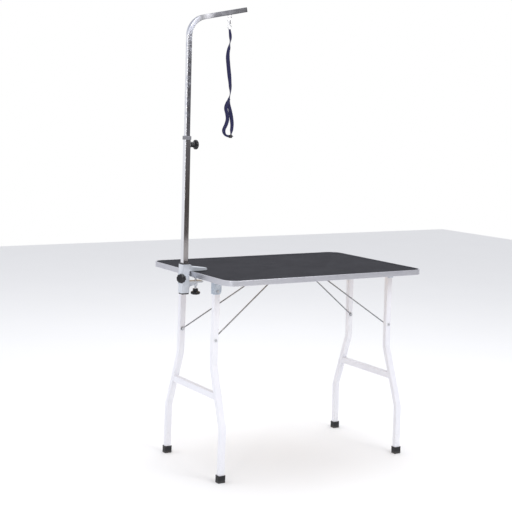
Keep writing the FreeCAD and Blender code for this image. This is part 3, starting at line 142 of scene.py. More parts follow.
class Finish:
    # a material and short ways to wire its nodes

    def __init__(self, name, colour, **sockets):
        self.material = bpy.data.materials.new(name)
        self.material.use_nodes = True
        self.nodes, self.links = self.material.node_tree.nodes, self.material.node_tree.links
        self.shader = self.nodes["Principled BSDF"]
        self.set("Base Color", (*colour, 1))
        for socket, value in sockets.items():
            self.set(socket.replace("_", " "), value)
        self.where = self.nodes.new("ShaderNodeTexCoord").outputs["Object"]
        self.bumps = None

    def set(self, socket, value):
        self.shader.inputs[socket].default_value = value

    def wire(self, source, node, socket):
        self.links.new(source, node.inputs[socket])

    def stretched(self, x, y, z):
        mapping = self.nodes.new("ShaderNodeMapping")
        mapping.inputs["Scale"].default_value = (x, y, z)
        self.wire(self.where, mapping, "Vector")
        return mapping.outputs[0]

    def noise(self, scale, detail=3, rough=0.55, source=None):
        node = self.nodes.new("ShaderNodeTexNoise")
        node.inputs["Scale"].default_value = scale
        node.inputs["Detail"].default_value = detail
        node.inputs["Roughness"].default_value = rough
        self.wire(source or self.where, node, "Vector")
        return node.outputs["Fac"]

    def cells(self, scale, output="Distance"):
        node = self.nodes.new("ShaderNodeTexVoronoi")
        node.inputs["Scale"].default_value = scale
        self.wire(self.where, node, "Vector")
        return node.outputs[output]

    def ramp(self, source, *stops):
        node = self.nodes.new("ShaderNodeValToRGB")
        elements = node.color_ramp.elements
        while len(elements) < len(stops):
            elements.new(0.5)
        for element, (position, colour) in zip(elements, stops):
            element.position = position
            element.color = (*colour, 1)
        self.wire(source, node, "Fac")
        return node.outputs["Color"]

    def math(self, operation, a, b=None, c=None):
        node = self.nodes.new("ShaderNodeMath")
        node.operation = operation
        for i, value in enumerate((a, b, c)):
            if value is None:
                continue
            if isinstance(value, (int, float)):
                node.inputs[i].default_value = value
            else:
                self.links.new(value, node.inputs[i])
        return node.outputs[0]

    def between(self, source, low, high, fromLow=0.0, fromHigh=1.0):
        node = self.nodes.new("ShaderNodeMapRange")
        for socket, value in (("From Min", fromLow), ("From Max", fromHigh),
                              ("To Min", low), ("To Max", high)):
            node.inputs[socket].default_value = value
        self.wire(source, node, "Value")
        return node.outputs[0]

    def mix(self, share, a, b):
        node = self.nodes.new("ShaderNodeMix")
        node.data_type = "RGBA"
        for socket, value in ((0, share), (6, a), (7, b)):
            if isinstance(value, tuple):
                node.inputs[socket].default_value = (*value, 1)
            elif isinstance(value, float):
                node.inputs[socket].default_value = value
            else:
                self.links.new(value, node.inputs[socket])
        return node.outputs[2]

    def colour(self, source):
        self.wire(source, self.shader, "Base Color")

    def roughness(self, source):
        self.wire(source, self.shader, "Roughness")

    def bump(self, source, depth, strength=1.0):
        node = self.nodes.new("ShaderNodeBump")
        node.inputs["Distance"].default_value = depth
        node.inputs["Strength"].default_value = strength
        self.wire(source, node, "Height")
        if self.bumps is not None:
            self.wire(self.bumps, node, "Normal")
        self.bumps = node.outputs[0]
        self.wire(self.bumps, self.shader, "Normal")

    def axis(self, letter):
        node = self.nodes.new("ShaderNodeSeparateXYZ")
        self.wire(self.where, node, 0)
        return node.outputs[letter]


def pebbledRubber():
    f = Finish("pebbledRubber", (0.03, 0.03, 0.035), Roughness=0.9, Specular_IOR_Level=0.12)
    pebbles = f.cells(520)
    dust = f.noise(9, 5, 0.62)
    f.colour(f.mix(f.between(dust, 0.15, 0.85, 0.35, 0.7), (0.024, 0.024, 0.029),
                   (0.038, 0.038, 0.045)))
    f.roughness(f.between(f.noise(34, 4), 0.78, 0.95))
    f.bump(pebbles, 0.0009, 0.55)
    f.bump(f.noise(70, 2), 0.0008, 0.25)
    return f.material


def chipBoard():
    f = Finish("chipBoard", (0.5, 0.36, 0.22), Roughness=0.78)
    chips = f.cells(330, output="Color")
    bits = f.nodes.new("ShaderNodeSeparateColor")
    f.wire(chips, bits, 0)
    tone = f.ramp(bits.outputs[0], (0.0, (0.30, 0.19, 0.10)), (0.45, (0.52, 0.37, 0.22)),
                  (1.0, (0.68, 0.53, 0.35)))
    f.colour(f.mix(f.between(f.noise(14, 4), 0.0, 0.4), tone, (0.42, 0.29, 0.17)))
    f.bump(bits.outputs[1], 0.0004, 0.4)
    return f.material


def satinAluminium():
    f = Finish("satinAluminium", (0.62, 0.62, 0.66), Metallic=1.0, Roughness=0.34)
    lines = f.noise(1, 4, 0.6, f.stretched(16, 16, 2600))
    smudge = f.noise(7, 4)
    f.colour(f.mix(f.between(smudge, 0.1, 0.8, 0.3, 0.7), (0.56, 0.56, 0.61),
                   (0.67, 0.67, 0.70)))
    f.roughness(f.math("ADD", f.between(lines, 0.25, 0.37), f.between(smudge, -0.04, 0.06)))
    f.bump(lines, 0.00008, 0.35)
    f.bump(f.noise(1, 3, 0.5, f.stretched(3, 3, 40)), 0.0006, 0.2)
    return f.material


def zincPlate():
    f = Finish("zincPlate", (0.52, 0.58, 0.66), Metallic=0.85, Roughness=0.42)
    spangle = f.cells(150, output="Color")
    tint = f.nodes.new("ShaderNodeSeparateColor")
    f.wire(spangle, tint, 0)
    f.colour(f.mix(f.between(tint.outputs[0], 0.1, 0.9), (0.44, 0.50, 0.58),
                   (0.64, 0.69, 0.76)))
    scratches = f.noise(1, 4, 0.7, f.stretched(900, 60, 60))
    f.roughness(f.math("ADD", f.between(tint.outputs[1], 0.30, 0.46),
                       f.between(scratches, 0.0, 0.12, 0.5, 0.8)))
    f.bump(scratches, 0.00006, 0.4)
    return f.material


def plainZinc():
    f = Finish("plainZinc", (0.55, 0.56, 0.58), Metallic=1.0, Roughness=0.30)
    stain = f.noise(240, 4)
    f.colour(f.mix(f.between(stain, 0.0, 1.0, 0.3, 0.75), (0.46, 0.47, 0.49),
                   (0.68, 0.68, 0.70)))
    f.roughness(f.between(f.noise(600, 3), 0.22, 0.42))
    f.bump(f.noise(1, 2, 0.5, f.stretched(2400, 2400, 300)), 0.00004, 0.3)
    return f.material


def powderCoat():
    f = Finish("powderCoat", (0.82, 0.82, 0.87), Roughness=0.38, Specular_IOR_Level=0.5,
               Coat_Weight=0.25, Coat_Roughness=0.28)
    patch = f.noise(5, 4)
    high = f.axis("Z")
    scuff = f.between(high, 0.55, 0.0, 0.0, 0.14)       # scuffed just above the feet
    marks = f.math("MULTIPLY", scuff, f.between(f.noise(120, 5, 0.7), 0.0, 1.0, 0.5, 0.72))
    tone = f.mix(f.between(patch, 0.0, 1.0, 0.3, 0.7), (0.79, 0.79, 0.845), (0.85, 0.85, 0.89))
    f.colour(f.mix(marks, tone, (0.52, 0.51, 0.50)))
    f.roughness(f.between(f.noise(90, 3), 0.32, 0.46))
    f.bump(f.noise(1500, 2, 0.5), 0.00012, 0.35)        # orange peel
    f.bump(f.noise(260, 2, 0.5), 0.00014, 0.2)
    return f.material


def ribbedRubber():
    f = Finish("ribbedRubber", (0.018, 0.018, 0.020), Roughness=0.55, Specular_IOR_Level=0.4)
    dust = f.between(f.axis("Z"), 0.7, 0.0, 0.0, 0.012)
    f.colour(f.mix(f.math("MULTIPLY", dust, f.noise(220, 4)), (0.017, 0.017, 0.019),
                   (0.16, 0.15, 0.14)))
    f.roughness(f.between(f.noise(400, 3), 0.42, 0.66))
    f.bump(f.noise(1400, 2), 0.00010, 0.4)
    return f.material


def drawnSteel():
    f = Finish("drawnSteel", (0.30, 0.30, 0.32), Metallic=0.7, Roughness=0.33)
    lines = f.noise(1, 3, 0.6, f.stretched(60, 1500, 1500))
    f.colour(f.mix(f.between(f.noise(40, 4), 0.0, 1.0, 0.3, 0.7), (0.20, 0.20, 0.215),
                   (0.34, 0.34, 0.36)))
    f.roughness(f.between(lines, 0.24, 0.44))
    f.bump(lines, 0.00004, 0.3)
    return f.material


def paintedCasting():
    f = Finish("paintedCasting", (0.60, 0.63, 0.68), Metallic=0.35, Roughness=0.36,
               Coat_Weight=0.3, Coat_Roughness=0.2)
    grain = f.noise(420, 4, 0.6)
    f.colour(f.mix(f.between(f.noise(18, 4), 0.0, 1.0, 0.3, 0.7), (0.55, 0.585, 0.635),
                   (0.68, 0.71, 0.76)))
    f.roughness(f.between(grain, 0.28, 0.46))
    f.bump(grain, 0.00030, 0.35)
    f.bump(f.noise(60, 2), 0.0006, 0.2)
    return f.material


def mouldedPlastic():
    f = Finish("mouldedPlastic", (0.020, 0.020, 0.022), Roughness=0.40)
    f.roughness(f.between(f.noise(300, 4), 0.30, 0.52))
    f.colour(f.mix(f.noise(60, 3), (0.017, 0.017, 0.019), (0.030, 0.030, 0.032)))
    f.bump(f.noise(1800, 2), 0.00006, 0.4)
    return f.material


def greyNylon():
    f = Finish("greyNylon", (0.20, 0.20, 0.22), Roughness=0.45)
    f.colour(f.mix(f.noise(90, 3), (0.17, 0.17, 0.19), (0.24, 0.24, 0.26)))
    f.roughness(f.between(f.noise(300, 4), 0.34, 0.56))
    f.bump(f.noise(1800, 2), 0.00006, 0.4)
    return f.material


def glossyKnob():
    f = Finish("glossyKnob", (0.008, 0.008, 0.010), Roughness=0.2, Specular_IOR_Level=0.3,
               Coat_Weight=0.15, Coat_Roughness=0.08)
    rub = f.noise(160, 5, 0.65)
    f.roughness(f.between(rub, 0.18, 0.34, 0.45, 0.8))
    f.colour(f.mix(f.between(rub, 0.0, 0.7, 0.45, 0.85), (0.010, 0.010, 0.012),
                   (0.032, 0.032, 0.034)))
    f.bump(f.noise(90, 2), 0.00025, 0.12)
    return f.material


def chromePlate(name, stops, brightReflectionFrom=None):
    # painted reflection: the plating's tone is painted to follow the tube's height
    f = Finish(name, (0.75, 0.75, 0.78), Metallic=1.0, Roughness=0.08)
    smear = f.noise(1, 4, 0.6, f.stretched(60, 60, 14))
    level = f.math("ADD", f.axis("Z"), f.between(smear, -0.02, 0.02))
    lowest, highest = stops[0][0], stops[-1][0]
    share = f.between(level, 0.0, 1.0, lowest, highest)
    tone = f.ramp(share, *[((z - lowest) / (highest - lowest), tone) for z, tone in stops])
    if brightReflectionFrom is not None:          # painted reflection: the outer side is painted near white
        side = f.between(f.axis("X"), 0.0, 1.0, brightReflectionFrom, brightReflectionFrom + 0.002)
        tone = f.mix(side, (0.93, 0.93, 0.95), tone)
    f.colour(tone)
    f.roughness(f.between(smear, 0.05, 0.12, 0.3, 0.7))
    return f.material


def armChrome():
    # painted reflection: the arm is painted darker than the post that it bends out of
    f = Finish("armChrome", (0.3, 0.3, 0.33), Metallic=1.0, Roughness=0.12)
    smear = f.noise(1, 4, 0.6, f.stretched(30, 60, 60))
    along = f.math("ADD", f.axis("X"), f.between(smear, -0.008, 0.008))
    # painted reflection: a near-white band at the bend, then darker bands along the arm
    tone = f.ramp(f.between(along, 0.0, 1.0, -0.457, -0.20),
                  (0.0, (0.92, 0.92, 0.94)), (0.012, (0.60, 0.62, 0.70)),
                  (0.10, (0.46, 0.47, 0.53)), (0.22, (0.16, 0.16, 0.17)),
                  (0.32, (0.30, 0.30, 0.32)), (0.44, (0.10, 0.10, 0.11)),
                  (1.0, (0.07, 0.07, 0.075)))
    f.colour(tone)
    f.roughness(f.between(smear, 0.08, 0.2, 0.3, 0.7))
    return f.material


weave = {"warp": 1.6, "weft": 1.1, "rib": 0.52, "skew": 1.4}       # millimetres, rib in radians


def wovenStrap():
    f = Finish("wovenStrap", (0.02, 0.02, 0.08), Roughness=0.72, Specular_IOR_Level=0.3,
               Sheen_Weight=0.35, Sheen_Roughness=0.45)
    flat = f.nodes.new("ShaderNodeUVMap")
    flat.uv_map = "weave"
    split = f.nodes.new("ShaderNodeSeparateXYZ")
    f.wire(flat.outputs[0], split, 0)
    across, along = split.outputs["X"], split.outputs["Y"]       # both in millimetres
    turn = 2 * math.pi
    warp = f.math("SINE", f.math("MULTIPLY", across, turn / weave["warp"]))
    ribs = f.math("ABSOLUTE", f.math("SINE", f.math("MULTIPLY", across, weave["rib"])))
    skewed = f.math("ADD", along, f.math("MULTIPLY", ribs, weave["skew"]))
    weft = f.math("SINE", f.math("MULTIPLY", skewed, turn / weave["weft"]))
    threads = f.math("MULTIPLY_ADD", f.math("MULTIPLY", warp, weft), 0.5, 0.5)
    fuzz = f.noise(900, 3)
    f.colour(f.mix(f.math("MULTIPLY", threads, f.between(fuzz, 0.5, 1.0)),
                   (0.008, 0.008, 0.035), (0.030, 0.030, 0.125)))
    f.roughness(f.between(threads, 0.62, 0.86))
    f.bump(threads, 0.00035, 0.6)
    return f.material


def stitchThread():
    f = Finish("stitchThread", (0.10, 0.105, 0.15), Roughness=0.6, Sheen_Weight=0.3)
    f.colour(f.mix(f.noise(2000, 2), (0.07, 0.075, 0.11), (0.15, 0.155, 0.21)))
    f.bump(f.noise(4000, 2), 0.0001, 0.5)
    return f.material


def paleFloor():
    f = Finish("paleFloor", (0.93, 0.93, 0.93), Roughness=0.75, Specular_IOR_Level=0.15)
    f.colour(f.mix(f.noise(2, 3), (0.925, 0.925, 0.925), (0.945, 0.945, 0.945)))
    return f.material


addCamera()
addLamps()
addWorld()
# height in metres and painted reflection tone of the lower pole's plating
poleReflectionTones = [(0.69, (0.42, 0.39, 0.38)), (1.10, (0.50, 0.47, 0.46)), (1.20, (0.66, 0.66, 0.70)),
        (1.30, (0.80, 0.81, 0.86))]
finishes = {
    "rubber_mat": pebbledRubber(), "board": chipBoard(), "trim": satinAluminium(),
    "zinc_plate": zincPlate(), "fastener": plainZinc(), "white_coat": powderCoat(),
    "black_rubber": ribbedRubber(), "steel_rod": drawnSteel(), "casting": paintedCasting(),
    "black_plastic": mouldedPlastic(), "knob_plastic": glossyKnob(),
    # painted reflection: these chrome finishes are toned by height, and the post's outer side is
    # painted near white
    "chrome": chromePlate("chromePlate", [(1.60, (0.72, 0.72, 0.74)), (1.80, (0.84, 0.84, 0.86))]),
    "lowerPole": chromePlate("lowerPoleChrome", poleReflectionTones, brightReflectionFrom=-0.4587),
    "collar": greyNylon(),
    "upperPole": armChrome(), "webbing": wovenStrap(), "thread": stitchThread(),
}
print("camera, lights and finishes made")


def linked(name, data, material=None):
    piece = bpy.data.objects.new(name, data)
    bpy.context.scene.collection.objects.link(piece)
    if material is not None:
        data.materials.clear()
        data.materials.append(material)
    return piece


floorReach = 7      # metres from the middle


def addFloor():
    r = floorReach
    data = bpy.data.meshes.new("floor")
    data.from_pydata([(-r, -r, 0), (r, -r, 0), (r, r, 0), (-r, r, 0)], [], [(0, 1, 2, 3)])
    linked("floor", data, paleFloor())


addFloor()


noose = {       # millimetres; selvage is how much thicker the woven edge is
    "width": 15.0, "thickness": 1.3, "selvage": 0.35, "pointsAcross": 9, "closest": 0.4,
    "strap": [(-274.97, -10, 1697.8), (-266.77, -8, 1668), (-272.27, -9, 1636),
              (-281.27, -11, 1602), (-276.77, -12, 1560), (-270.27, -11, 1520),
              (-263.77, -8, 1482), (-261.27, -6, 1452), (-272.27, -7, 1424),
              (-260.27, -6, 1392), (-253.27, -7, 1360), (-250.77, -9, 1328),
              (-257.77, -10, 1298.6)],
    "loop": [(-268.07, -12.3, 1437), (-278.27, -14, 1421), (-286.27, -14, 1401),
             (-277.27, -13, 1379), (-273.77, -12, 1357), (-280.27, -11, 1335),
             (-290.77, -10, 1316), (-284.27, -10, 1298), (-268.27, -10, 1292),
             (-247.27, -10, 1293)],
    # share of the length, twist in degrees, share of the width
    "strapTwist": [(0.0, -25, 0.5), (0.06, -10, 0.75), (0.13, 50, 0.9), (0.20, -12, 0.85),
                   (0.28, -32, 1.0), (0.42, -26, 1.0), (0.52, 0, 0.9), (0.62, 52, 0.9),
                   (0.70, -10, 0.9), (0.85, -28, 0.95), (0.95, -15, 0.85), (1.0, 20, 0.45)],
    "loopTwist": [(0.0, 20, 0.7), (0.12, -10, 0.9), (0.32, -40, 0.95), (0.5, -15, 0.95),
                  (0.7, -30, 0.9), (0.84, 10, 0.6), (1.0, 50, 0.42)],
}


def splineLine(name, route):
    # the smooth centre line of the strap, read from its own spline
    curve = bpy.data.curves.new(name, "CURVE")
    curve.dimensions = "3D"
    curve.resolution_u = 14
    spline = curve.splines.new("NURBS")
    spline.points.add(len(route) - 1)
    for point, place in zip(spline.points, route):
        point.co = (*(v / 1000 for v in place), 1)
    spline.order_u = 3
    spline.use_endpoint_u = True
    holder = linked(name, curve)
    graph = bpy.context.evaluated_depsgraph_get()
    line = bpy.data.meshes.new_from_object(holder.evaluated_get(graph))
    points = [v.co.copy() for v in line.vertices]
    bpy.data.objects.remove(holder)
    kept = [points[0]]
    for p in points[1:]:
        if (p - kept[-1]).length > noose["closest"] / 1000:
            kept.append(p)
    return kept


def lengths(points):
    total = [0.0]
    for a, b in zip(points, points[1:]):
        total.append(total[-1] + (b - a).length)
    return total


def eased(stops, share):
    for (s0, *low), (s1, *high) in zip(stops, stops[1:]):
        if share <= s1:
            t = (share - s0) / (s1 - s0)
            t = t * t * (3 - 2 * t)
            return [a + (b - a) * t for a, b in zip(low, high)]
    return stops[-1][1:]


def ribbonFrames(points, twists):
    # for each point: its middle, its way across and its way through
    run = lengths(points)
    out = []
    for i, p in enumerate(points):
        ahead = (points[min(i + 1, len(points) - 1)] - points[max(i - 1, 0)]).normalized()
        side = ahead.cross(Vector((0, 1, 0))).normalized()
        through = side.cross(ahead).normalized()
        twist, wide = eased(twists, run[i] / run[-1])
        angle = math.radians(twist)
        across = side * math.cos(angle) + through * math.sin(angle)
        out.append((p, across, ahead.cross(across).normalized(), wide, run[i]))
    return out


def ribbon(name, points, twists):
    half, thick = noose["width"] / 2000, noose["thickness"] / 2000
    steps = noose["pointsAcross"]
    ring = []
    for k in range(steps):
        u = -1 + 2 * k / (steps - 1)
        ring.append((u, 1 if abs(u) < 1 else 0.45))
    ring += [(-u, -t) for u, t in ring]
    mesh = bmesh.new()
    flat = mesh.loops.layers.uv.new("weave")
    rows = []
    for p, across, through, wide, run in ribbonFrames(points, twists):
        row = []
        for u, t in ring:
            cup = 0.0006 * (u * u) * (1.4 - wide) * 2          # edges curl where it is gathered
            bulge = 1 + noose["selvage"] * (abs(u) > 0.7)      # thicker woven edge
            row.append(mesh.verts.new(p + across * (u * half * wide)
                                      + through * (t * thick * bulge + cup)))
        rows.append((row, run))
    count = len(ring)
    for (a, runA), (b, runB) in zip(rows, rows[1:]):
        for k in range(count):
            n = (k + 1) % count
            face = mesh.faces.new((a[k], a[n], b[n], b[k]))
            face.smooth = True
            for loop, (u, run) in zip(face.loops, ((ring[k][0], runA), (ring[n][0], runA),
                                                   (ring[n][0], runB), (ring[k][0], runB))):
                loop[flat].uv = (u * half * 1000, run * 1000)
    mesh.faces.new(rows[0][0])
    mesh.faces.new(list(reversed(rows[-1][0])))
    bmesh.ops.recalc_face_normals(mesh, faces=mesh.faces)
    data = bpy.data.meshes.new(name)
    mesh.to_mesh(data)
    mesh.free()
    return linked(name, data, finishes["webbing"])


def bakePiece(piece):
    graph = bpy.context.evaluated_depsgraph_get()
    baked = bpy.data.meshes.new_from_object(piece.evaluated_get(graph), depsgraph=graph)
    piece.modifiers.clear()
    piece.data = baked
    return piece


def newTree(name, **inputs):
    # a Geometry Nodes tree with named inputs, and the identifier of each
    tree = bpy.data.node_groups.new(name, "GeometryNodeTree")
    tree.interface.new_socket("Geometry", in_out="INPUT", socket_type="NodeSocketGeometry")
    tree.interface.new_socket("Geometry", in_out="OUTPUT", socket_type="NodeSocketGeometry")
    kinds = {float: "NodeSocketFloat", int: "NodeSocketInt"}
    sockets = {}
    for label, value in inputs.items():
        kind = kinds.get(type(value), "NodeSocketMaterial" if isinstance(value, bpy.types.Material)
                         else "NodeSocketObject")
        socket = tree.interface.new_socket(label, in_out="INPUT", socket_type=kind)
        sockets[socket.identifier] = value
    return tree, tree.nodes.new("NodeGroupInput"), tree.nodes.new("NodeGroupOutput"), sockets


def runTree(piece, tree, sockets):
    modifier = piece.modifiers.new(tree.name, "NODES")
    modifier.node_group = tree
    for identifier, value in sockets.items():
        modifier[identifier] = value
    return bakePiece(piece)


def lineObject(name, loops, closed):
    points, edges = [], []
    for loop in loops:
        first = len(points)
        points += [tuple(p) for p in loop]
        edges += [(first + i, first + i + 1) for i in range(len(loop) - 1)]
        if closed:
            edges.append((len(points) - 1, first))
    data = bpy.data.meshes.new(name)
    data.from_pydata(points, edges, [])
    return linked(name, data)


def alongLine(name, loops, closed, spacing, bead, size, wobble, material, seed):
    # beads or stitches set at even steps along lines
    piece = lineObject(name, loops, closed)
    tree, given, result, sockets = newTree(name + "Tree", Spacing=spacing, Bead=bead,
                                           Wobble=wobble, Seed=seed, Finish=material)
    nodes, links = tree.nodes, tree.links
    toCurve = nodes.new("GeometryNodeMeshToCurve")
    links.new(given.outputs["Geometry"], toCurve.inputs["Mesh"])
    even = nodes.new("GeometryNodeResampleCurve")
    even.mode = "LENGTH"
    links.new(toCurve.outputs[0], even.inputs["Curve"])
    links.new(given.outputs["Spacing"], even.inputs["Length"])
    points = nodes.new("GeometryNodeCurveToPoints")
    points.mode = "EVALUATED"
    links.new(even.outputs[0], points.inputs["Curve"])
    ball = nodes.new("GeometryNodeMeshIcoSphere")
    ball.inputs["Subdivisions"].default_value = 2 if wobble > 0.05 else 1
    links.new(given.outputs["Bead"], ball.inputs["Radius"])
    shape = nodes.new("GeometryNodeTransform")
    shape.inputs["Scale"].default_value = size
    links.new(ball.outputs["Mesh"], shape.inputs["Geometry"])
    vary = nodes.new("FunctionNodeRandomValue")
    vary.data_type = "FLOAT"
    low = nodes.new("ShaderNodeMath")
    low.operation = "SUBTRACT"
    low.inputs[0].default_value = 1
    links.new(given.outputs["Wobble"], low.inputs[1])
    high = nodes.new("ShaderNodeMath")
    high.operation = "ADD"
    high.inputs[0].default_value = 1
    links.new(given.outputs["Wobble"], high.inputs[1])
    links.new(low.outputs[0], vary.inputs[2])
    links.new(high.outputs[0], vary.inputs[3])
    links.new(given.outputs["Seed"], vary.inputs["Seed"])
    put = nodes.new("GeometryNodeInstanceOnPoints")
    links.new(points.outputs["Points"], put.inputs["Points"])
    links.new(points.outputs["Rotation"], put.inputs["Rotation"])
    links.new(shape.outputs[0], put.inputs["Instance"])
    links.new(vary.outputs[1], put.inputs["Scale"])
    real = nodes.new("GeometryNodeRealizeInstances")
    links.new(put.outputs[0], real.inputs[0])
    smooth = nodes.new("GeometryNodeSetShadeSmooth")
    links.new(real.outputs[0], smooth.inputs[0])
    finish = nodes.new("GeometryNodeSetMaterial")
    links.new(smooth.outputs[0], finish.inputs["Geometry"])
    links.new(given.outputs["Finish"], finish.inputs["Material"])
    links.new(finish.outputs[0], result.inputs[0])
    return runTree(piece, tree, sockets)


stitch = {"inset": 1.8, "lift": 0.02, "spacing": 3.1, "bead": 0.42, "size": (0.6, 0.6, 2.4),
          "wobble": 0.04}       # millimetres, the last two as shares


def strapStitches(points, twists, name, seed):
    lines = []
    inset = (noose["width"] / 2 - stitch["inset"]) / 1000
    lift = (noose["thickness"] / 2 + stitch["lift"]) / 1000
    rows = ribbonFrames(points, twists)[3:-3]
    for edge in (-1, 1):
        for face in (-1, 1):
            lines.append([p + across * (edge * inset * wide) + through * (face * lift)
                          for p, across, through, wide, run in rows])
    return alongLine(name, lines, False, stitch["spacing"] / 1000, stitch["bead"] / 1000,
                     stitch["size"], stitch["wobble"], finishes["thread"], seed)


def buildNoose():
    strapPoints = splineLine("strapLine", noose["strap"])
    loopPoints = splineLine("loopLine", noose["loop"])
    strap = ribbon("nooseStrap", strapPoints, noose["strapTwist"])
    loop = ribbon("nooseLoop", loopPoints, noose["loopTwist"])
    seams = [strapStitches(strapPoints, noose["strapTwist"], "strapStitches", 3),
             strapStitches(loopPoints, noose["loopTwist"], "loopStitches", 5)]
    for piece, node in ((strap, "noose_strap"), (loop, "noose_loop")):
        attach(piece, "noose")
        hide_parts(node)
    for seam in seams:
        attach(seam, "noose")
    strapLength, loopLength = lengths(strapPoints)[-1], lengths(loopPoints)[-1]
    print("strap and loop measure", round(strapLength, 4), round(loopLength, 4))


buildNoose()
print("noose made")


edges = {       # rounding of each piece's edges in millimetres, and its finish
    "mat": (0.5, "rubber_mat"), "board": (0.3, "board"), "edge_trim": (0.25, "trim"),
    "hinge": (0.35, "zinc_plate"), "brace_catch": (0.35, "zinc_plate"),
    "pivot_bolts": (0.3, "fastener"), "pivot_nuts": (0.25, "fastener"),
    "brace_bolts": (0.3, "fastener"), "leg": (0.3, "white_coat"),
    "crossbar": (0.5, "white_coat"), "foot": (0.8, "black_rubber"),
    "brace_rod": (0.2, "steel_rod"), "brace_bar": (0.5, "steel_rod"),
    "clamp_frame": (0.9, "casting"), "sleeve_bush": (0.6, "black_plastic"),
    "clamp_pad": (0.5, "black_plastic"), "clamp_screw": (0.15, "fastener"),
    "clamp_knob": (0.5, "knob_plastic"), "sleeve_stud": (0.15, "fastener"),
    "sleeve_knob": (0.5, "knob_plastic"), "lower_pole": (0.3, "lowerPole"),
    "pole_nut": (0.25, "fastener"), "pole_collar": (0.6, "collar"),
    "pole_stud": (0.15, "fastener"), "pole_knob": (0.5, "knob_plastic"),
    "upper_pole": (0.3, "upperPole"), "arm_end_cap": (0.6, "black_plastic"),
    "snap_hook": (0.2, "chrome"), "snap_trigger": (0.2, "chrome"),
    "swivel_eye": (0.2, "chrome"), "noose_slider": (0.7, "black_plastic"),
}
worked = {"merge": 2e-6, "flatten": 0.35, "segments": 2, "sharpFrom": 32}    # metres, degrees
nodeBody = {node: body for body, members in frame["record"]["behaviour"]["bodies"].items()
            for node in members}


def camel(node):
    first, *rest = node.split("_")
    return first + "".join(word.capitalize() for word in rest)


def mergedMesh(node):
    mesh = bmesh.new()
    mesh.from_mesh(frame["nodes"][node].data)
    bmesh.ops.remove_doubles(mesh, verts=mesh.verts, dist=worked["merge"])
    bmesh.ops.dissolve_limit(mesh, angle_limit=math.radians(worked["flatten"]),
                             verts=mesh.verts, edges=mesh.edges)
    return mesh


def workedCopy(node, rounding, material):
    mesh = mergedMesh(node)
    for face in mesh.faces:
        face.smooth = True
    data = bpy.data.meshes.new(camel(node))
    mesh.to_mesh(data)
    mesh.free()
    piece = linked(camel(node) + "Worked", data, material)
    bevel = piece.modifiers.new("edges", "BEVEL")
    bevel.width = rounding / 1000
    bevel.segments = worked["segments"]
    bevel.limit_method = "ANGLE"
    bevel.angle_limit = math.radians(worked["sharpFrom"])
    bevel.use_clamp_overlap = True
    bevel.miter_outer = "MITER_ARC"
    normals = piece.modifiers.new("normals", "WEIGHTED_NORMAL")
    normals.keep_sharp = True
    bakePiece(piece)
    piece.data.materials.clear()
    piece.data.materials.append(material)
    return piece


def buildWorked():
    done = 0
    for node, body in nodeBody.items():
        if node in ("noose_strap", "noose_loop", "board_screws"):
            continue
        key = max((k for k in edges if k in node), key=len)
        rounding, finish = edges[key]
        piece = workedCopy(node, rounding, finishes[finish])
        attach(piece, body)
        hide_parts(node)
        done += 1
    print(done, "pieces given worked edges")


buildWorked()


weld = {"bead": 0.0017, "spacing": 0.0016, "wobble": 0.16, "size": (1.25, 1.0, 0.8),
        "setIn": 0.0006, "endShare": 0.35, "seed": 11}


def crossbarRings(node):
    # the outer corner line of each end of a crossbar
    mesh = mergedMesh(node)
    low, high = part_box(node)
    middle = (low + high) / 2
    rings = []
    for end in (-1, 1):
        found = {}
        for v in mesh.verts:
            if v.co.y * end < (high.y - low.y) * weld["endShare"]:
                continue
            angle = math.atan2(v.co.z - middle.z, v.co.x - middle.x)
            far = math.hypot(v.co.z - middle.z, v.co.x - middle.x)
            key = round(angle, 1)
            if key not in found or far > found[key][0]:
                found[key] = (far, angle, v.co.copy())
        ring = [co for far, angle, co in sorted(found.values(), key=lambda item: item[1])]
        rings.append([co - Vector((0, end * weld["setIn"], 0)) for co in ring])
    mesh.free()
    return rings


def buildWelds():
    for side in ("left", "right"):
        name = side + "CrossbarWelds"
        piece = alongLine(name, crossbarRings(side + "_crossbar"), True, weld["spacing"],
                          weld["bead"], weld["size"], weld["wobble"],
                          finishes["white_coat"], weld["seed"])
        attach(piece, side + "_frame")


buildWelds()
print("welds made")


# millimetres
woodScrew = {"head": 4.0, "dome": 2.2, "shank": 1.75, "length": 10.6, "slot": 0.55,
             "slotReach": 2.1, "slotDepth": 1.3, "around": 20}


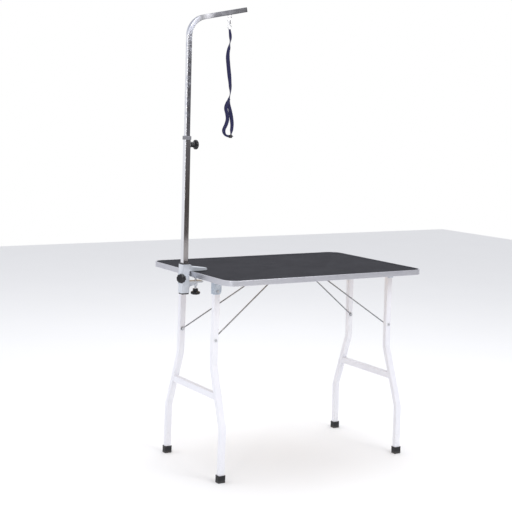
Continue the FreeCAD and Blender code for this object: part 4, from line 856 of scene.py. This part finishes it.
def screwMesh():
    # head downwards, with a crossed recess; the head's seat is at the origin
    s = {k: v / 1000 if k != "around" else v for k, v in woodScrew.items()}
    mesh = bmesh.new()
    outline = [(0.0003, s["length"]), (s["shank"] * 0.8, s["length"] * 0.7), (s["shank"], 0),
               (s["head"], 0), (s["head"], -s["dome"] * 0.25),
               (s["head"] * 0.93, -s["dome"] * 0.62), (s["head"] * 0.78, -s["dome"] * 0.88),
               (s["head"] * 0.62, -s["dome"])]
    rings = []
    for r, z in outline:
        rings.append([mesh.verts.new((r * math.cos(a), r * math.sin(a), z)) for a in
                      (2 * math.pi * i / s["around"] for i in range(s["around"]))])
    for a, b in zip(rings, rings[1:]):
        for i in range(s["around"]):
            j = (i + 1) % s["around"]
            mesh.faces.new((a[i], a[j], b[j], b[i]))
    mesh.faces.new(rings[0])
    w, r = s["slot"], s["slotReach"]
    plus = [(w, w), (w, r), (-w, r), (-w, w), (-r, w), (-r, -w), (-w, -w), (-w, -r), (w, -r),
            (w, -w), (r, -w), (r, w)]
    top = [mesh.verts.new((x, y, -s["dome"])) for x, y in plus]
    floor = [mesh.verts.new((x * 0.8, y * 0.8, -s["dome"] + s["slotDepth"])) for x, y in plus]
    rim = []
    for i in range(len(plus)):
        j = (i + 1) % len(plus)
        rim.append(mesh.edges.new((top[i], top[j])))
        mesh.faces.new((top[i], top[j], floor[j], floor[i]))
    mesh.faces.new(floor)
    outer = [mesh.edges.get((rings[-1][i], rings[-1][(i + 1) % s["around"]]))
             for i in range(s["around"])]
    bmesh.ops.triangle_fill(mesh, use_beauty=True, use_dissolve=False, edges=rim + outer)
    bmesh.ops.recalc_face_normals(mesh, faces=mesh.faces)
    data = bpy.data.meshes.new("woodScrew")
    mesh.to_mesh(data)
    mesh.free()
    return data


def screwPlaces():
    # middle and seat of each screw, from its own solid
    mesh = bmesh.new()
    mesh.from_mesh(frame["nodes"]["board_screws"].data)
    bmesh.ops.remove_doubles(mesh, verts=mesh.verts, dist=worked["merge"])
    waiting, places = set(mesh.verts), []
    while waiting:
        group, edge = set(), [waiting.pop()]
        while edge:
            v = edge.pop()
            group.add(v)
            for e in v.link_edges:
                other = e.other_vert(v)
                if other in waiting:
                    waiting.discard(other)
                    edge.append(other)
        xs, ys = [v.co.x for v in group], [v.co.y for v in group]
        bottom = min(v.co.z for v in group)
        places.append((0.5 * (min(xs) + max(xs)), 0.5 * (min(ys) + max(ys)),
                       bottom + woodScrew["dome"] / 1000))
    mesh.free()
    return places


def buildScrews():
    source = linked("woodScrewSource", screwMesh(), finishes["fastener"])
    data = bpy.data.meshes.new("boardScrews")
    data.from_pydata(screwPlaces(), [], [])
    piece = linked("boardScrewsCrossed", data)
    tree, given, result, sockets = newTree("screwTree", Screw=source, Seed=7,
                                           Finish=finishes["fastener"])
    nodes, links = tree.nodes, tree.links
    shape = nodes.new("GeometryNodeObjectInfo")
    links.new(given.outputs["Screw"], shape.inputs["Object"])
    turn = nodes.new("FunctionNodeRandomValue")
    turn.data_type = "FLOAT_VECTOR"
    turn.inputs[0].default_value = (0, 0, 0)
    turn.inputs[1].default_value = (0, 0, 6.283)
    links.new(given.outputs["Seed"], turn.inputs["Seed"])
    put = nodes.new("GeometryNodeInstanceOnPoints")
    links.new(given.outputs["Geometry"], put.inputs["Points"])
    links.new(shape.outputs["Geometry"], put.inputs["Instance"])
    links.new(turn.outputs[0], put.inputs["Rotation"])
    real = nodes.new("GeometryNodeRealizeInstances")
    links.new(put.outputs[0], real.inputs[0])
    finish = nodes.new("GeometryNodeSetMaterial")
    links.new(real.outputs[0], finish.inputs["Geometry"])
    links.new(given.outputs["Finish"], finish.inputs["Material"])
    links.new(finish.outputs[0], result.inputs[0])
    runTree(piece, tree, sockets)
    bpy.data.objects.remove(source)
    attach(piece, "table")
    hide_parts("board_screws")


buildScrews()
print("screws made")
